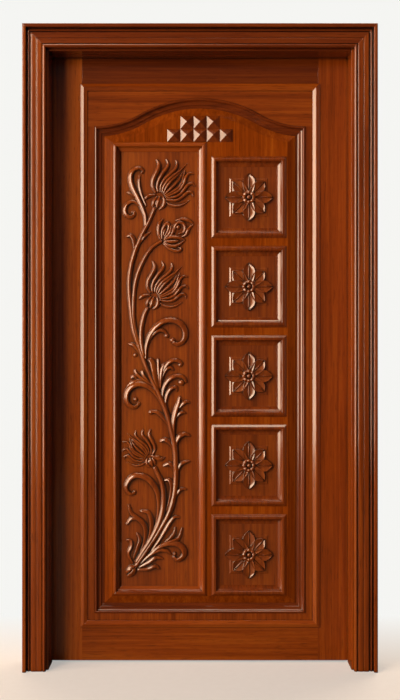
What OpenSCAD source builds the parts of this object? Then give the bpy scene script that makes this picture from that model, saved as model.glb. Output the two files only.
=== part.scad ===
// Carved entrance door with its frame. Millimetres, +Z up, front towards -Y, origin at the floor.

/* [Doorway] */
// Clear width between the jambs
clear_w = 1032; // [980:1:1100]
// Clear height from the floor to the head
clear_h = 2108; // [2060:1:2200]

/* [Frame] */
// Thickness of the jambs and the head
jamb_t = 60; // [50:1:80]
// Depth of the frame from front to back
frame_d = 125; // [110:1:150]
// Width of the rebate that the leaf closes into
rebate_w = 12; // [9:0.5:16]
// Width of the casing moulding
casing_w = 78; // [74:1:90]
// Thickness of the casing at its outer edge
casing_t = 28; // [26:1:34]
// Strip of jamb left showing inside the casing
casing_margin = 7; // [3:0.5:10]
// Radius of the pilot holes for the wall holdfasts
holdfast_r = 3; // [2:0.5:5]
// Depth of the holdfast pilot holes
holdfast_deep = 35; // [20:1:45]
// Distance between the two holes of one holdfast
holdfast_pitch = 80; // [50:5:120]

/* [Leaf] */
// Thickness of the leaf
leaf_t = 40; // [38:0.5:45]
// Gap between the leaf and the frame at the sides and top
side_gap = 3; // [2.5:0.1:4]
// Gap between the leaf and the floor
floor_gap = 5; // [3:0.5:10]
// Gap between the leaf and the stop of the frame
stop_gap = 1; // [0.5:0.1:2]
// Width of the stiles
stile_w = 113; // [105:1:120]
// Width of the top rail
top_rail_w = 104; // [95:1:115]
// Width of the bottom rail
bottom_rail_w = 121; // [110:1:135]
// Length of the rail tenons
tenon_len = 60; // [40:1:80]
// Thickness of the rail tenons
tenon_t = 12; // [10:0.5:15]
// Shoulder left above and below each tenon
tenon_shoulder = 22; // [18:1:30]
// Length of the tongue round the surround board
tongue_len = 8; // [5:0.5:12]
// Thickness of that tongue
tongue_t = 10; // [7:0.5:12]

/* [Ridge strips] */
// Width of the ridge strips
ridge_w = 25; // [20:0.5:30]
// Height of the ridge strips above the leaf face
ridge_h = 7.5; // [6.5:0.5:9]
// Height of the ridge strips at their edges
ridge_edge = 3; // [2:0.5:4]
// Lap of the ridge strips over stiles and rails
ridge_lap = 6; // [4:0.5:10]

/* [Arched surround] */
// Flat of the surround beside the arch moulding
flat_w = 25; // [20:0.5:30]
// Rise of the arch above its spring
arch_rise = 99; // [80:1:110]
// Share of the curve that is hollow at the haunches
hollow_share = 0.43; // [0.38:0.01:0.5]
// Width of the arch moulding
arch_mould_w = 33; // [30:0.5:36]
// Depth of the rebate that holds the arch moulding
arch_mould_d = 20; // [16:0.5:22]
// Step of the surround that the arch moulding rests on
arch_step = 14; // [10:0.5:18]
// Thickness of the surround and field boards
board_t = 31; // [28:0.5:34]

/* [Raised field] */
// Width of the bevel round the raised field
bevel_w = 28; // [24:0.5:32]
// Depth of the bevel at its outer edge
bevel_d = 12; // [9:0.5:13]
// Height of the raised field above the leaf face
field_v = 1; // [0:0.5:2]
// Bare field between the arch moulding and the tall panel
head_space = 22; // [18:0.5:30]

/* [Panels] */
// Width of the strip moulding round the tall panel
tall_mould_w = 32; // [28:0.5:36]
// Width of the strip moulding round a square panel
square_mould_w = 35; // [30:0.5:38]
// Height of both strip mouldings above the field
mould_h = 7.5; // [5:0.5:10]
// Depth of the panel grounds below the leaf face
ground_d = 8; // [6:0.5:10]
// Thickness of the panel boards
panel_t = 9; // [7:0.5:11]
// Field between the tall panel and the square panels
panel_gap = 16; // [10:0.5:24]
// Field between the square panels and the bevel
edge_gap = 5; // [2:0.5:10]
// Width of a square panel over its moulding
square_w = 262; // [250:1:275]
// Field between one square panel and the next
square_gap = 28; // [20:1:36]
// Drop of the top square panel below the tall panel
square_drop = 50; // [40:1:60]
// Width and height of the raised tile in a square panel
tile_w = 136; // [120:1:150]
// Height of the raised tile
tile_h = 4; // [2:0.5:6]
// Length of a rosette petal from the centre
petal_r = 84; // [74:1:88]
// Width of a rosette petal
petal_w = 42; // [34:1:46]
// Height of the rosette above its tile
petal_h = 8; // [5:0.5:10]
// Radius of the bud in the middle of a rosette
bud_r = 22; // [16:1:26]
// Radius of the pearl on the bud
pearl_r = 8; // [5:0.5:10]
// Width of the lower step of a tile
tile_rim = 10; // [8:0.5:14]
// Width of the sloping edge of each step of a tile
tile_edge = 5; // [3:0.5:6]

/* [Carving] */
// Height of a carved stroke as a share of its width
relief = 0.66; // [0.56:0.02:0.8]
// Width of a carved stroke against its width on the drawing
carve_bold = 1.45; // [1.1:0.05:1.5]
// Bare ground above the top flower
carve_head = 26; // [10:1:40]
// Bare ground beside the top flower
carve_side = 8; // [4:1:16]
// Longest facet along a carved stroke
facet_len = 50; // [46:1:70]
// Most that a carved stroke turns from one facet to the next
facet_turn = 22; // [21:1:45]

/* [Studs] */
// Side of a pyramid stud
stud_w = 45.5; // [40:0.5:46]
// Gap between studs
stud_gap = 0.5; // [0.3:0.1:2]
// Height of a pyramid stud
stud_h = 14; // [10:0.5:18]

/* [Hinges] */
// Height of a hinge
hinge_h = 125; // [100:1:150]
// Reach of a hinge plate into the wood
plate_w = 34; // [30:0.5:36]
// Thickness of a hinge plate
plate_t = 2.5; // [2:0.1:3]
// Radius of the hinge barrel
barrel_r = 7; // [6:0.25:8]
// Radius of the hinge pin
pin_r = 3.5; // [3:0.1:4]
// Running clearance of the pin in the door knuckles
pin_clear = 0.05; // [0.02:0.01:0.1]
// Height of the bottom hinge above the foot of the leaf
hinge_low = 250; // [200:5:320]
// Distance of the top hinge below the top of the leaf
hinge_high = 200; // [160:5:280]
// Radius of a hinge screw's shank
screw_r = 2.3; // [1.8:0.1:2.6]
// Radius of a hinge screw's head
screw_head_r = 4.4; // [3.6:0.1:4.8]
// Length of a hinge screw
screw_len = 32; // [20:1:40]

/* [Hidden] */
$fn = 48;
fit = 0.2;       // glued joints in wood
snug = 0.05;     // screws in their holes and pins in the frame knuckles
knuckle_gap = 0.5;
axial_gap = 0.3;
mitre_gap = 0.05;
wood = "#83400f";
wood_light = "#93501a";
brass = "#b08d4a";

// Depth, front to back
depth = casing_t + frame_d + knuckle_gap + 2 * barrel_r;
y_wall = casing_t - depth / 2;
y_back = y_wall + frame_d;
y_face = y_back - leaf_t;

// Leaf outline
half_clear = clear_w / 2;
half_leaf = half_clear + rebate_w - side_gap;
leaf_top = clear_h + rebate_w - side_gap;
x_stile = half_leaf - stile_w;
z_low_rail = floor_gap + bottom_rail_w;
z_top_rail = leaf_top - top_rail_w;
tongue_v = -board_t / 2 - tongue_t / 2;

// Ridge strips
x_ridge = x_stile + ridge_lap;
z_ridge = z_low_rail - ridge_lap;
ridge_tall = z_top_rail + ridge_lap - z_ridge;

// Camel-back arch: two hollow arcs at the haunches and one round arc at the crown
arch_x = x_ridge - ridge_w - flat_w;
arch_z = z_ridge + ridge_w + flat_w;
crown_z = z_ridge + ridge_tall - ridge_w - flat_w;
spring_z = crown_z - arch_rise;
sweep_a = 2 * atan(arch_rise / arch_x);
arch_reach = arch_x / sin(sweep_a);
hollow_r = hollow_share * arch_reach;
round_r = arch_reach - hollow_r;
round_c = [0, crown_z - round_r];
hollow_c = [arch_x, spring_z + hollow_r];
arch_steps = 24;

// Panels on the raised field
field_x = arch_x - arch_mould_w - bevel_w;
low_z = arch_z + arch_mould_w + bevel_w;
tall_top = spring_z - arch_mould_w - head_space;
square_x = field_x - edge_gap - square_w;
tall_x = -field_x;
tall_w = square_x - panel_gap - tall_x;
tall_h = tall_top - low_z;
square_n = 5;
square_h = (tall_h - square_drop - (square_n - 1) * square_gap) / square_n;
square_pitch = square_h + square_gap;
tall_seat = tall_mould_w / 2;
square_seat = square_mould_w / 2;
carve_w = tall_w - 2 * tall_mould_w;
carve_h = tall_h - 2 * tall_mould_w;
petal_n = 8;
petal_root = 0.2;
petal_waist = 0.63;
corner_share = 0.92;
rib_w = 4;
bury = 1;        // reach of carved forms and tenons into what they grow from

// Studs
stud_pitch = stud_w + stud_gap;
stud_rows = [5, 3];

// Hinges
hinge_x = -half_leaf - side_gap / 2;
hinge_y = y_back + knuckle_gap + barrel_r;
hinge_z = [
    floor_gap + hinge_low,
    (floor_gap + hinge_low + leaf_top - hinge_high) / 2,
    leaf_top - hinge_high
];
knuckle_n = 5;
knuckle_h = hinge_h / knuckle_n;
cap_r = barrel_r - 1;
cap_h = 3;
screw_rows = [-0.38, -0.14, 0.14, 0.38];
screw_depths = [0.35, 0.65, 0.35, 0.65];
countersink_d = screw_head_r - screw_r;

// Holdfasts
holdfast_z = [300, 1100, 1850];
holdfast_y = y_wall + frame_d / 2;

sides = ["left", "right", "bottom", "top"];
arch_lengths = ["left", "right", "bottom", "haunch_left", "haunch_right", "crown"];

// Helpers

// Puts x, height and level towards the viewer on the leaf's face
module on_face() {
    translate([0, y_face, 0]) rotate([90, 0, 0]) children();
}

// Points along an arc in a profile
function arc(c, r, from, to, steps = 6) =
    [for (i = [0:steps]) c + r * [cos(from + (to - from) * i / steps), sin(from + (to - from) * i / steps)]];

// One straight stick of a moulding, running along +Y, with a mitre of slope m0 and m1 at its ends
module stick(profile, width, length, m0 = 1, m1 = 1) {
    reach = width + 1;
    start = m0 == 0 ? 0 : mitre_gap;
    end = length - (m1 == 0 ? 0 : mitre_gap);
    intersection() {
        translate([0, length + reach, 0])
            rotate([90, 0, 0]) linear_extrude(length + 2 * reach) polygon(profile);
        translate([0, 0, -reach]) linear_extrude(2 * reach + casing_t)
            polygon([[0, start], [width, start + m0 * width], [width, end - m1 * width], [0, end]]);
    }
}

// One side of a mitred frame whose outer corner is at the origin
module frame_side(side, profile, width, w, h) {
    if (side == "left") stick(profile, width, h);
    if (side == "right") translate([w, 0, 0]) mirror([1, 0, 0]) stick(profile, width, h);
    if (side == "bottom") mirror([1, -1, 0]) stick(profile, width, w);
    if (side == "top") translate([0, h, 0]) mirror([0, 1, 0]) mirror([1, -1, 0]) stick(profile, width, w);
}

// Profiles: across from the first edge, then up from the face

casing_profile = concat(
    [[0, 0], [0, 14.5]],
    arc([5.5, 14.5], 5.5, 180, 20),
    [[11, 15], [12.5, 15], [13, 17]],
    arc([22.2, -41.8], 60, 98, 82),
    [[31.5, 16.5]],
    arc([40.8, -41.8], 60, 98, 82),
    [[51, 12], [54, 12]],
    arc([58, 13.5], 3.5, 190, -10),
    [[62, 12], [65, 12], [65.5, casing_t - 3]],
    arc([68, casing_t - 2.5], 2.5, 170, 90, 4),
    arc([casing_w - 3, casing_t - 3], 3, 90, 0, 4),
    [[casing_w, 0]]
);

ridge_profile = concat(
    [[0, 0], [0, ridge_edge]],
    arc([ridge_w / 2, ridge_h - 2], 2, 110, 70, 4),
    [[ridge_w, ridge_edge], [ridge_w, 0]]
);

// Points down a hollow curve that drops from one edge and runs out flat at the next
function hollow(from, to, steps = 5) = [for (i = [0:steps]) let (a = 90 * i / steps)
    [from[0] + (to[0] - from[0]) * (1 - cos(a)), from[1] + (to[1] - from[1]) * sin(a)]];

bead_r = 4.5;
bead_end = 2 * bead_r + 0.5;
cove_mid = (bead_end + arch_mould_w) / 2;
cove_v = -bevel_d * 0.6;
arch_profile = concat(
    [[0, -arch_mould_d]],
    arc([bead_r, 0], bead_r, 180, 0),
    hollow([bead_end, -1], [cove_mid, cove_v]),
    hollow([cove_mid + 1, cove_v - 1], [arch_mould_w, -bevel_d], 4),
    [[arch_mould_w, -arch_mould_d]]
);

// A picture-frame strip with its outer half on the field and its inner half on the panel's ground
function strip_profile(width, seat) = concat(
    [[0, field_v], [0, field_v + 1]],
    arc([width * 0.25, field_v + mould_h - 2], 2, 140, 90, 4),
    arc([width * 0.41, field_v + mould_h - 2.5], 2.5, 90, 20, 4),
    hollow([width * 0.52, field_v + mould_h / 2], [width, -ground_d + 0.5]),
    [[width, -ground_d], [seat + fit, -ground_d], [seat + fit, field_v]]
);

tall_profile = strip_profile(tall_mould_w, tall_seat);
square_profile = strip_profile(square_mould_w, square_seat);

// Frame

module holdfast_holes() {
    for (z = holdfast_z)
        for (s = [-1, 1])
            translate([half_clear + jamb_t - holdfast_deep, holdfast_y, z + s * holdfast_pitch / 2])
                rotate([0, 90, 0]) cylinder(h = holdfast_deep + 1, r = holdfast_r);
}

// Jamb with a rebate at its back, on the right-hand side
module jamb_blank() {
    difference() {
        translate([half_clear, y_wall, 0]) cube([jamb_t, frame_d, clear_h + jamb_t]);
        translate([half_clear - 1, y_face - stop_gap, -1])
            cube([rebate_w + 1, leaf_t + stop_gap + 1, clear_h + jamb_t + 2]);
        holdfast_holes();
    }
}

module jamb_right() {
    color(wood) jamb_blank();
}

module jamb_left() {
    color(wood) difference() {
        mirror([1, 0, 0]) jamb_blank();
        hinge_mortises(-1);
        frame_side_screws(snug);
    }
}

module head_jamb() {
    rear_half = half_clear + rebate_w;
    y_stop = y_face - stop_gap;
    color(wood) union() {
        translate([-half_clear, y_wall, clear_h]) cube([clear_w, y_stop - y_wall, jamb_t]);
        translate([-rear_half, y_stop, clear_h + rebate_w])
            cube([2 * rear_half, y_back - y_stop, jamb_t - rebate_w]);
    }
}

module on_wall() {
    translate([0, y_wall, 0]) rotate([90, 0, 0]) children();
}

module casing_right() {
    color(wood_light) on_wall() translate([half_clear + casing_margin, 0, 0])
        stick(casing_profile, casing_w, clear_h + casing_margin, 0, -1);
}

module casing_left() {
    color(wood_light) on_wall() translate([-half_clear - casing_margin, 0, 0]) mirror([1, 0, 0])
        stick(casing_profile, casing_w, clear_h + casing_margin, 0, -1);
}

module casing_head() {
    color(wood_light) on_wall() translate([-half_clear - casing_margin, clear_h + casing_margin, 0])
        mirror([1, -1, 0]) stick(casing_profile, casing_w, clear_w + 2 * casing_margin, -1, -1);
}

// Hinges

// Recesses for the hinge plates: side -1 in the jamb, side 1 in the stile
module hinge_mortises(side) {
    for (z = hinge_z)
        translate([hinge_x + side * (side_gap / 2 + plate_t / 2), y_back - plate_w / 2 + 0.5, z])
            cube([plate_t + fit, plate_w + 1 + fit, hinge_h + 2 * fit], center = true);
}

// One countersunk screw along +X with its head at the origin
module screw(extra) {
    rotate([0, 90, 0]) cylinder(h = screw_len + extra, r = screw_r + extra);
    rotate([0, 90, 0]) cylinder(h = countersink_d, r1 = screw_head_r + extra, r2 = screw_r + extra);
}

module screws(side, extra) {
    for (z = hinge_z)
        for (i = [0:len(screw_rows) - 1])
            translate([
                hinge_x + side * side_gap / 2,
                y_back - plate_w * screw_depths[i],
                z + screw_rows[i] * hinge_h
            ]) mirror([side < 0 ? 1 : 0, 0, 0]) screw(extra);
}

module frame_side_screws(extra) {
    screws(-1, extra);
}

// Half of a butt hinge: side -1 on the jamb with the odd knuckles, side 1 on the leaf with the even ones
module hinge_plate(side, z, bore_r) {
    first = side < 0 ? 0 : 1;
    plate_x = hinge_x + side * (side_gap / 2 + plate_t / 2);
    plate_end = y_back - knuckle_gap;
    difference() {
        union() {
            translate([plate_x, (y_back - plate_w + plate_end) / 2, z])
                cube([plate_t, plate_w - knuckle_gap, hinge_h], center = true);
            for (k = [first:2:knuckle_n - 1])
                translate([0, 0, z - hinge_h / 2 + k * knuckle_h + axial_gap / 2]) {
                    translate([hinge_x, hinge_y, 0]) cylinder(h = knuckle_h - axial_gap, r = barrel_r);
                    translate([plate_x - plate_t / 2, plate_end - 1, 0])
                        cube([plate_t, hinge_y - plate_end + 1, knuckle_h - axial_gap]);
                }
        }
        translate([hinge_x, hinge_y, z - hinge_h]) cylinder(h = 2 * hinge_h, r = bore_r);
        screws(side, snug);
    }
}

module hinge_frame_plate(i) {
    color(brass) hinge_plate(-1, hinge_z[i - 1], pin_r + snug);
}

module hinge_door_plate(i) {
    color(brass) hinge_plate(1, hinge_z[i - 1], pin_r + pin_clear);
}

module hinge_pin(i) {
    color(brass) translate([hinge_x, hinge_y, hinge_z[i - 1] - hinge_h / 2]) {
        cylinder(h = hinge_h, r = pin_r);
        translate([0, 0, hinge_h]) cylinder(h = cap_h, r = cap_r);
    }
}

module hinge_frame_screws() {
    color(brass) frame_side_screws(0);
}

module hinge_door_screws() {
    color(brass) screws(1, 0);
}

// Leaf frame

// Slot of the groove that takes the surround's tongue
module tongue_groove() {
    on_face() translate([0, 0, tongue_v - fit])
        linear_extrude(tongue_t + 2 * fit)
            translate([-x_stile - tongue_len - fit, z_low_rail - tongue_len - fit])
                square([
                    2 * (x_stile + tongue_len + fit),
                    z_top_rail - z_low_rail + 2 * (tongue_len + fit)
                ]);
}

// Tenon at both ends of a rail, or its mortise when there is extra room
module tenons(z, w, extra) {
    for (s = [-1, 1])
        translate([
            s * (x_stile + (tenon_len + extra - bury) / 2),
            y_face + leaf_t / 2,
            z + w / 2
        ])
            cube([
                tenon_len + extra + bury,
                tenon_t + 2 * extra,
                w - 2 * (tenon_shoulder - extra)
            ], center = true);
}

module stile_blank(s) {
    difference() {
        translate([s > 0 ? x_stile : -half_leaf, y_face, floor_gap])
            cube([stile_w, leaf_t, leaf_top - floor_gap]);
        tongue_groove();
        tenons(floor_gap, bottom_rail_w, fit);
        tenons(z_top_rail, top_rail_w, fit);
    }
}

module hinge_stile() {
    color(wood) difference() {
        stile_blank(-1);
        hinge_mortises(1);
        screws(1, snug);
    }
}

module lock_stile() {
    color(wood) stile_blank(1);
}

module rail(z, w) {
    color(wood) difference() {
        union() {
            translate([-x_stile, y_face, z]) cube([2 * x_stile, leaf_t, w]);
            tenons(z, w, 0);
        }
        tongue_groove();
    }
}

module bottom_rail() {
    rail(floor_gap, bottom_rail_w);
}

module top_rail() {
    rail(z_top_rail, top_rail_w);
}

module ridge(side) {
    color(wood_light) on_face() translate([-x_ridge, z_ridge, 0])
        frame_side(side, ridge_profile, ridge_w, 2 * x_ridge, ridge_tall);
}

// Arched surround and raised field

// Points of the right-hand haunch and of the crown, set in by d
function haunch_points(d) =
    arc(hollow_c, hollow_r + d, 270 - asin(d / (hollow_r + d)), 270 - sweep_a, arch_steps);
function crown_points(d) = [for (i = [1:2 * arch_steps - 1]) let (a = 90 - sweep_a + i * sweep_a / arch_steps)
    round_c + (round_r - d) * [cos(a), sin(a)]];

function arch_points(d) = let (right = haunch_points(d), foot = arch_z + d) concat(
    [[d - arch_x, foot], [arch_x - d, foot]],
    right,
    crown_points(d),
    [for (i = [arch_steps:-1:0]) [-right[i][0], right[i][1]]]
);

// Outline of the arched opening, set in by d on all sides
module arch_outline(d) {
    polygon(arch_points(d));
}

// Solid through arched outlines, each set in by its own distance at its own level, with caps of level strips
module arch_loft(insets, levels) {
    rings = len(insets);
    n = len(arch_points(0));
    half = (n - 1) / 2;
    top = (rings - 1) * n;
    strips = concat(
        [for (i = [1:half - 1]) [i, i + 1, n - i, (n + 1 - i) % n]],
        [[half, half + 1, half + 2]]
    );
    polyhedron(
        points = [for (k = [0:rings - 1]) for (q = arch_points(insets[k])) concat(q, levels[k])],
        faces = concat(
            strips,
            [for (s = strips) [for (i = [len(s) - 1:-1:0]) top + s[i]]],
            [for (k = [0:rings - 2]) for (i = [0:n - 1]) let (a = k * n + i, b = k * n + (i + 1) % n)
                [a, a + n, b + n, b]]
        ),
        convexity = 4
    );
}

module arched_surround() {
    x = x_stile - fit;
    z0 = z_low_rail + fit;
    h = z_top_rail - z_low_rail - 2 * fit;
    color(wood) on_face() difference() {
        union() {
            translate([-x, z0, -board_t]) cube([2 * x, h, board_t]);
            translate([-x - tongue_len, z0 - tongue_len, tongue_v])
                cube([2 * (x + tongue_len), h + 2 * tongue_len, tongue_t]);
        }
        translate([0, 0, -arch_mould_d]) linear_extrude(arch_mould_d + 1) arch_outline(-fit);
        translate([0, 0, -board_t - 1]) linear_extrude(board_t) arch_outline(arch_step);
    }
}

// A profile swept round the crown of the arch
module crown_sweep(profile) {
    half_a = sweep_a - atan(mitre_gap / round_r);
    translate(round_c) rotate([0, 0, 90 - half_a])
        rotate_extrude(angle = 2 * half_a, $fn = 180) polygon([for (p = profile) [round_r - p[0], p[1]]]);
}

// A profile swept round the hollow of the right-hand haunch
module haunch_sweep(profile) {
    translate(hollow_c) rotate([0, 0, 270 - sweep_a])
        rotate_extrude(angle = sweep_a, $fn = 180) polygon([for (p = profile) [hollow_r + p[0], p[1]]]);
}

// The right-hand haunch of the arch moulding, cut at the mitre over the upright length
module haunch_moulding() {
    cut = mitre_gap * sqrt(2);
    intersection() {
        haunch_sweep(arch_profile);
        translate([0, 0, -arch_mould_d - 1]) linear_extrude(arch_mould_d + 2 * bead_r)
            polygon([
                [arch_x, spring_z + cut], [arch_x, crown_z], [0, crown_z], [0, spring_z - arch_x + cut]
            ]);
    }
}

module arch_moulding(which) {
    color(wood) on_face() {
        if (which == "crown") crown_sweep(arch_profile);
        else if (which == "haunch_right") haunch_moulding();
        else if (which == "haunch_left") mirror([1, 0, 0]) haunch_moulding();
        else translate([-arch_x, arch_z, 0])
            frame_side(which, arch_profile, arch_mould_w, 2 * arch_x, spring_z - arch_z);
    }
}

// Outline of a panel's seat in the field, inside the moulding's seat line
module panel_seat(x, z, w, h, seat, room) {
    translate([x + seat + room, z + seat + room]) square([w - 2 * (seat + room), h - 2 * (seat + room)]);
}

function square_z(i) = low_z + (i - 1) * square_pitch;

module raised_field() {
    tongue_top = -arch_mould_d;
    edge = arch_mould_w + fit;
    pocket_v = -ground_d - panel_t - fit;
    color(wood) on_face() difference() {
        union() {
            translate([0, 0, -board_t]) linear_extrude(board_t + tongue_top) arch_outline(arch_step + fit);
            arch_loft([edge, edge, arch_mould_w + bevel_w], [tongue_top, field_v - bevel_d, field_v]);
        }
        translate([0, 0, pocket_v]) linear_extrude(field_v - pocket_v + 1) {
            panel_seat(tall_x, low_z, tall_w, tall_h, tall_seat, 0);
            for (i = [1:square_n]) panel_seat(square_x, square_z(i), square_w, square_h, square_seat, 0);
        }
    }
}

module tall_frame(side) {
    color(wood_light) on_face() translate([tall_x, low_z, 0])
        frame_side(side, tall_profile, tall_mould_w, tall_w, tall_h);
}

module square_frame(i) {
    color(wood_light) on_face() translate([square_x, square_z(i), 0])
        for (s = sides) frame_side(s, square_profile, square_mould_w, square_w, square_h);
}

// Board of a panel up to its ground
module panel_board(x, z, w, h, seat) {
    translate([0, 0, -ground_d - panel_t]) linear_extrude(panel_t) panel_seat(x, z, w, h, seat, fit);
}

// Carving

// Smooth curve through hand-placed points
function knot(p, i) = p[max(0, min(len(p) - 1, i))];
function bend(a, b, c, d, t) =
    0.5 * (2 * b + (c - a) * t + (2 * a - 5 * b + 4 * c - d) * t * t + (3 * b - a - 3 * c + d) * t * t * t);
function along(p, s) = let (i = min(len(p) - 2, floor(s)))
    bend(knot(p, i - 1), knot(p, i), knot(p, i + 1), knot(p, i + 2), s - i);
function path_len(p, i = 0) = i > len(p) - 2 ? 0 : norm(p[i + 1] - p[i]) + path_len(p, i + 1);
function heading(p, i) = atan2(p[i + 1][1] - p[i][1], p[i + 1][0] - p[i][0]);
function bend_at(p, i) = let (a = abs(heading(p, i) - heading(p, i - 1))) min(a, 360 - a);
function turning(p, i = 1) = i > len(p) - 2 ? 0 : bend_at(p, i) + turning(p, i + 1);

// Swell of a stroke from its root to its tip
function swell(t, root, tip) =
    t < 0.5 ? root + (1 - root) * sin(180 * t) : tip + (1 - tip) * sin(180 * t);

// A carved stroke: [width, root, tip, points], raised from the ground to a crest
module stroke(s) {
    p = s[3];
    n = max(3, ceil(path_len(p) / facet_len), ceil(turning(p) / facet_turn));
    spans = len(p) - 1;
    step = spans / n;
    rings = [for (k = [0:n]) let (
        c = along(p, k * step),
        ahead = along(p, min(spans, k * step + 0.05)) - along(p, max(0, k * step - 0.05)),
        side = [-ahead[1], ahead[0]] / norm(ahead),
        w = s[0] * carve_bold * swell(k / n, s[1], s[2]),
        h = relief * w
    ) [
        concat(c + side * w / 2, -bury),
        concat(c, h),
        concat(c - side * w / 2, -bury)
    ]];
    points = [for (r = rings) for (q = r) q];
    last = 3 * n;
    polyhedron(points = points, faces = concat(
        [[0, 1, 2], [last + 2, last + 1, last]],
        [for (k = [0:n - 1]) for (j = [0:2]) let (a = 3 * k + j, b = 3 * k + (j + 1) % 3)
            [a, a + 3, b + 3, b]]
    ), convexity = 6);
}

// A rounded boss on the ground
module berry(c, r, flat = 0.8) {
    hull() for (k = [0:2]) let (a = 35 * k)
        translate([c[0], c[1], -bury]) cylinder(h = bury + r * flat * sin(a) + 0.5, r = r * cos(a), $fn = 10);
}

// Lotus flower with its throat at the origin, opening up and to the right
lotus_strokes = [
    [12, 0.5, 0.3, [[-16, 6], [-27, 28], [-25, 50], [-14, 74], [-6, 92], [-6, 107], [-14, 121]]],
    [10, 0.5, 0.3, [[-8, 7], [-11, 27], [-5, 50], [9, 74], [23, 92], [28, 107], [20, 122]]],
    [9, 0.5, 0.35, [[0, 9], [2, 29], [15, 52], [37, 72], [54, 90], [59, 105], [55, 119]]],
    [9, 0.5, 0.2, [[7, 6], [11, 24], [25, 45], [47, 65], [70, 83], [93, 107]]],
    [8, 0.5, 0.2, [[11, 2], [21, 23], [37, 44], [58, 64], [76, 82]]],
    [8, 0.5, 0.2, [[14, -2], [32, 15], [51, 33], [68, 53], [78, 76]]],
    [8, 0.5, 0.2, [[16, -7], [42, 8], [65, 23], [77, 42], [82, 63], [88, 86]]],
    [9, 0.5, 0.3, [[18, -11], [46, 1], [69, 15], [82, 36], [89, 57], [102, 72], [118, 70]]],
    [9, 0.5, 0.3, [[20, -15], [48, -11], [71, 0], [86, 19], [98, 33], [112, 37], [123, 27]]],
    [9, 0.5, 0.3, [[20, -20], [48, -23], [70, -16], [86, -2], [100, 7], [112, 4], [116, -8]]],
    [7, 0.5, 0.3, [[17, -25], [32, -37], [53, -42], [77, -38], [102, -22]]],
    [9, 0.4, 0.4, [[-26, -44], [-23, -26], [-12, -8]]],
    [10, 0.4, 0.4, [[-13, -50], [-8, -28], [-2, -8]]],
    [10, 0.4, 0.4, [[-4, -53], [10, -42], [14, -26], [9, -8]]],
    [9, 0.5, 0.5, [[-18, -3], [-36, -5], [-48, -11], [-55, -19]]]
];

// The three flowers on the panel's drawing: [throat, size, turn, mirrored]
flowers = [
    [[137, 1372], 1, 0, 0],
    [[117, 1020], 0.96, -3, 0],
    [[98, 455], 0.76, 3, 1]
];

// Size of the drawing, from its top flower and the bare ground round it
top_flower = flowers[0][0];
sheet_w = top_flower[0] + max([for (s = lotus_strokes) for (q = s[3]) q[0]]) + carve_side;
sheet_h = top_flower[1] + max([for (s = lotus_strokes) for (q = s[3]) q[1]]) + carve_head;

module lotus(c, size, turn, flip) {
    translate(concat(c, 0)) rotate([0, 0, turn]) mirror([flip, 0, 0]) scale([size, size, 1]) {
        for (s = lotus_strokes) stroke(s);
        berry([-6, -29], 17, 0.3);
    }
}

// Half-open rose on the second stem
rose_strokes = [
    [9, 0.5, 0.3, [[139, 1212], [131, 1236], [131, 1257], [137, 1273], [148, 1285]]],
    [9, 0.5, 0.5, [[143, 1214], [142, 1236], [148, 1255], [160, 1269], [167, 1261], [164, 1245],
        [152, 1224]]],
    [7, 0.5, 0.3, [[147, 1225], [151, 1241], [158, 1256]]],
    [8, 0.5, 0.3, [[151, 1217], [165, 1228], [173, 1245], [175, 1267]]],
    [8, 0.5, 0.3, [[155, 1215], [174, 1226], [182, 1245], [184, 1265]]],
    [9, 0.5, 0.5, [[186, 1238], [189, 1260], [202, 1273], [217, 1268], [224, 1252], [217, 1238],
        [203, 1234]]],
    [9, 0.4, 0.3, [[192, 1280], [215, 1284], [238, 1278], [254, 1267]]],
    [9, 0.4, 0.3, [[214, 1222], [228, 1232], [236, 1250], [253, 1266]]],
    [9, 0.5, 0.3, [[150, 1212], [178, 1221], [204, 1218], [224, 1211]]],
    [9, 0.5, 0.3, [[152, 1207], [178, 1205], [204, 1208]]],
    [9, 0.5, 0.3, [[150, 1203], [165, 1193], [186, 1189], [206, 1197], [223, 1210]]],
    [8, 0.5, 0.4, [[150, 1198], [164, 1184], [182, 1175], [200, 1172], [210, 1180], [200, 1186]]]
];

// Stems, from the flowers down to the foot
stem_strokes = [
    [11, 0.8, 0.9, [[116, 1322], [106, 1296], [92, 1266], [78, 1240], [65, 1212], [54, 1186], [44, 1158],
        [36, 1128], [30, 1096], [27, 1062], [28, 1026], [31, 990], [35, 950], [41, 905], [50, 870],
        [63, 838]]],
    [10, 0.8, 0.9, [[140, 1206], [112, 1188], [92, 1164], [77, 1138], [64, 1110], [55, 1084], [48, 1054],
        [44, 1020], [42, 980], [42, 945], [46, 910], [55, 872], [66, 838]]],
    [11, 0.8, 0.9, [[92, 972], [82, 952], [75, 928], [70, 898], [69, 866], [72, 836], [79, 806]]],
    [13, 0.7, 0.9, [[60, 842], [70, 814], [78, 792], [87, 768], [98, 742], [109, 718], [121, 694], [134, 667],
        [146, 640], [156, 614], [164, 589], [171, 563], [177, 537], [183, 512], [187, 488], [190, 458],
        [191, 428], [192, 398], [191, 366], [188, 334], [183, 306], [175, 276], [165, 250], [153, 227],
        [139, 203], [124, 178], [110, 157], [96, 136], [82, 115], [66, 92], [52, 72]]],
    [14, 0.7, 0.8, [[118, 414], [128, 392], [139, 368], [146, 342], [148, 312], [147, 282], [142, 252],
        [133, 222], [120, 192], [104, 163], [88, 138], [71, 112], [54, 84]]]
];

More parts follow.
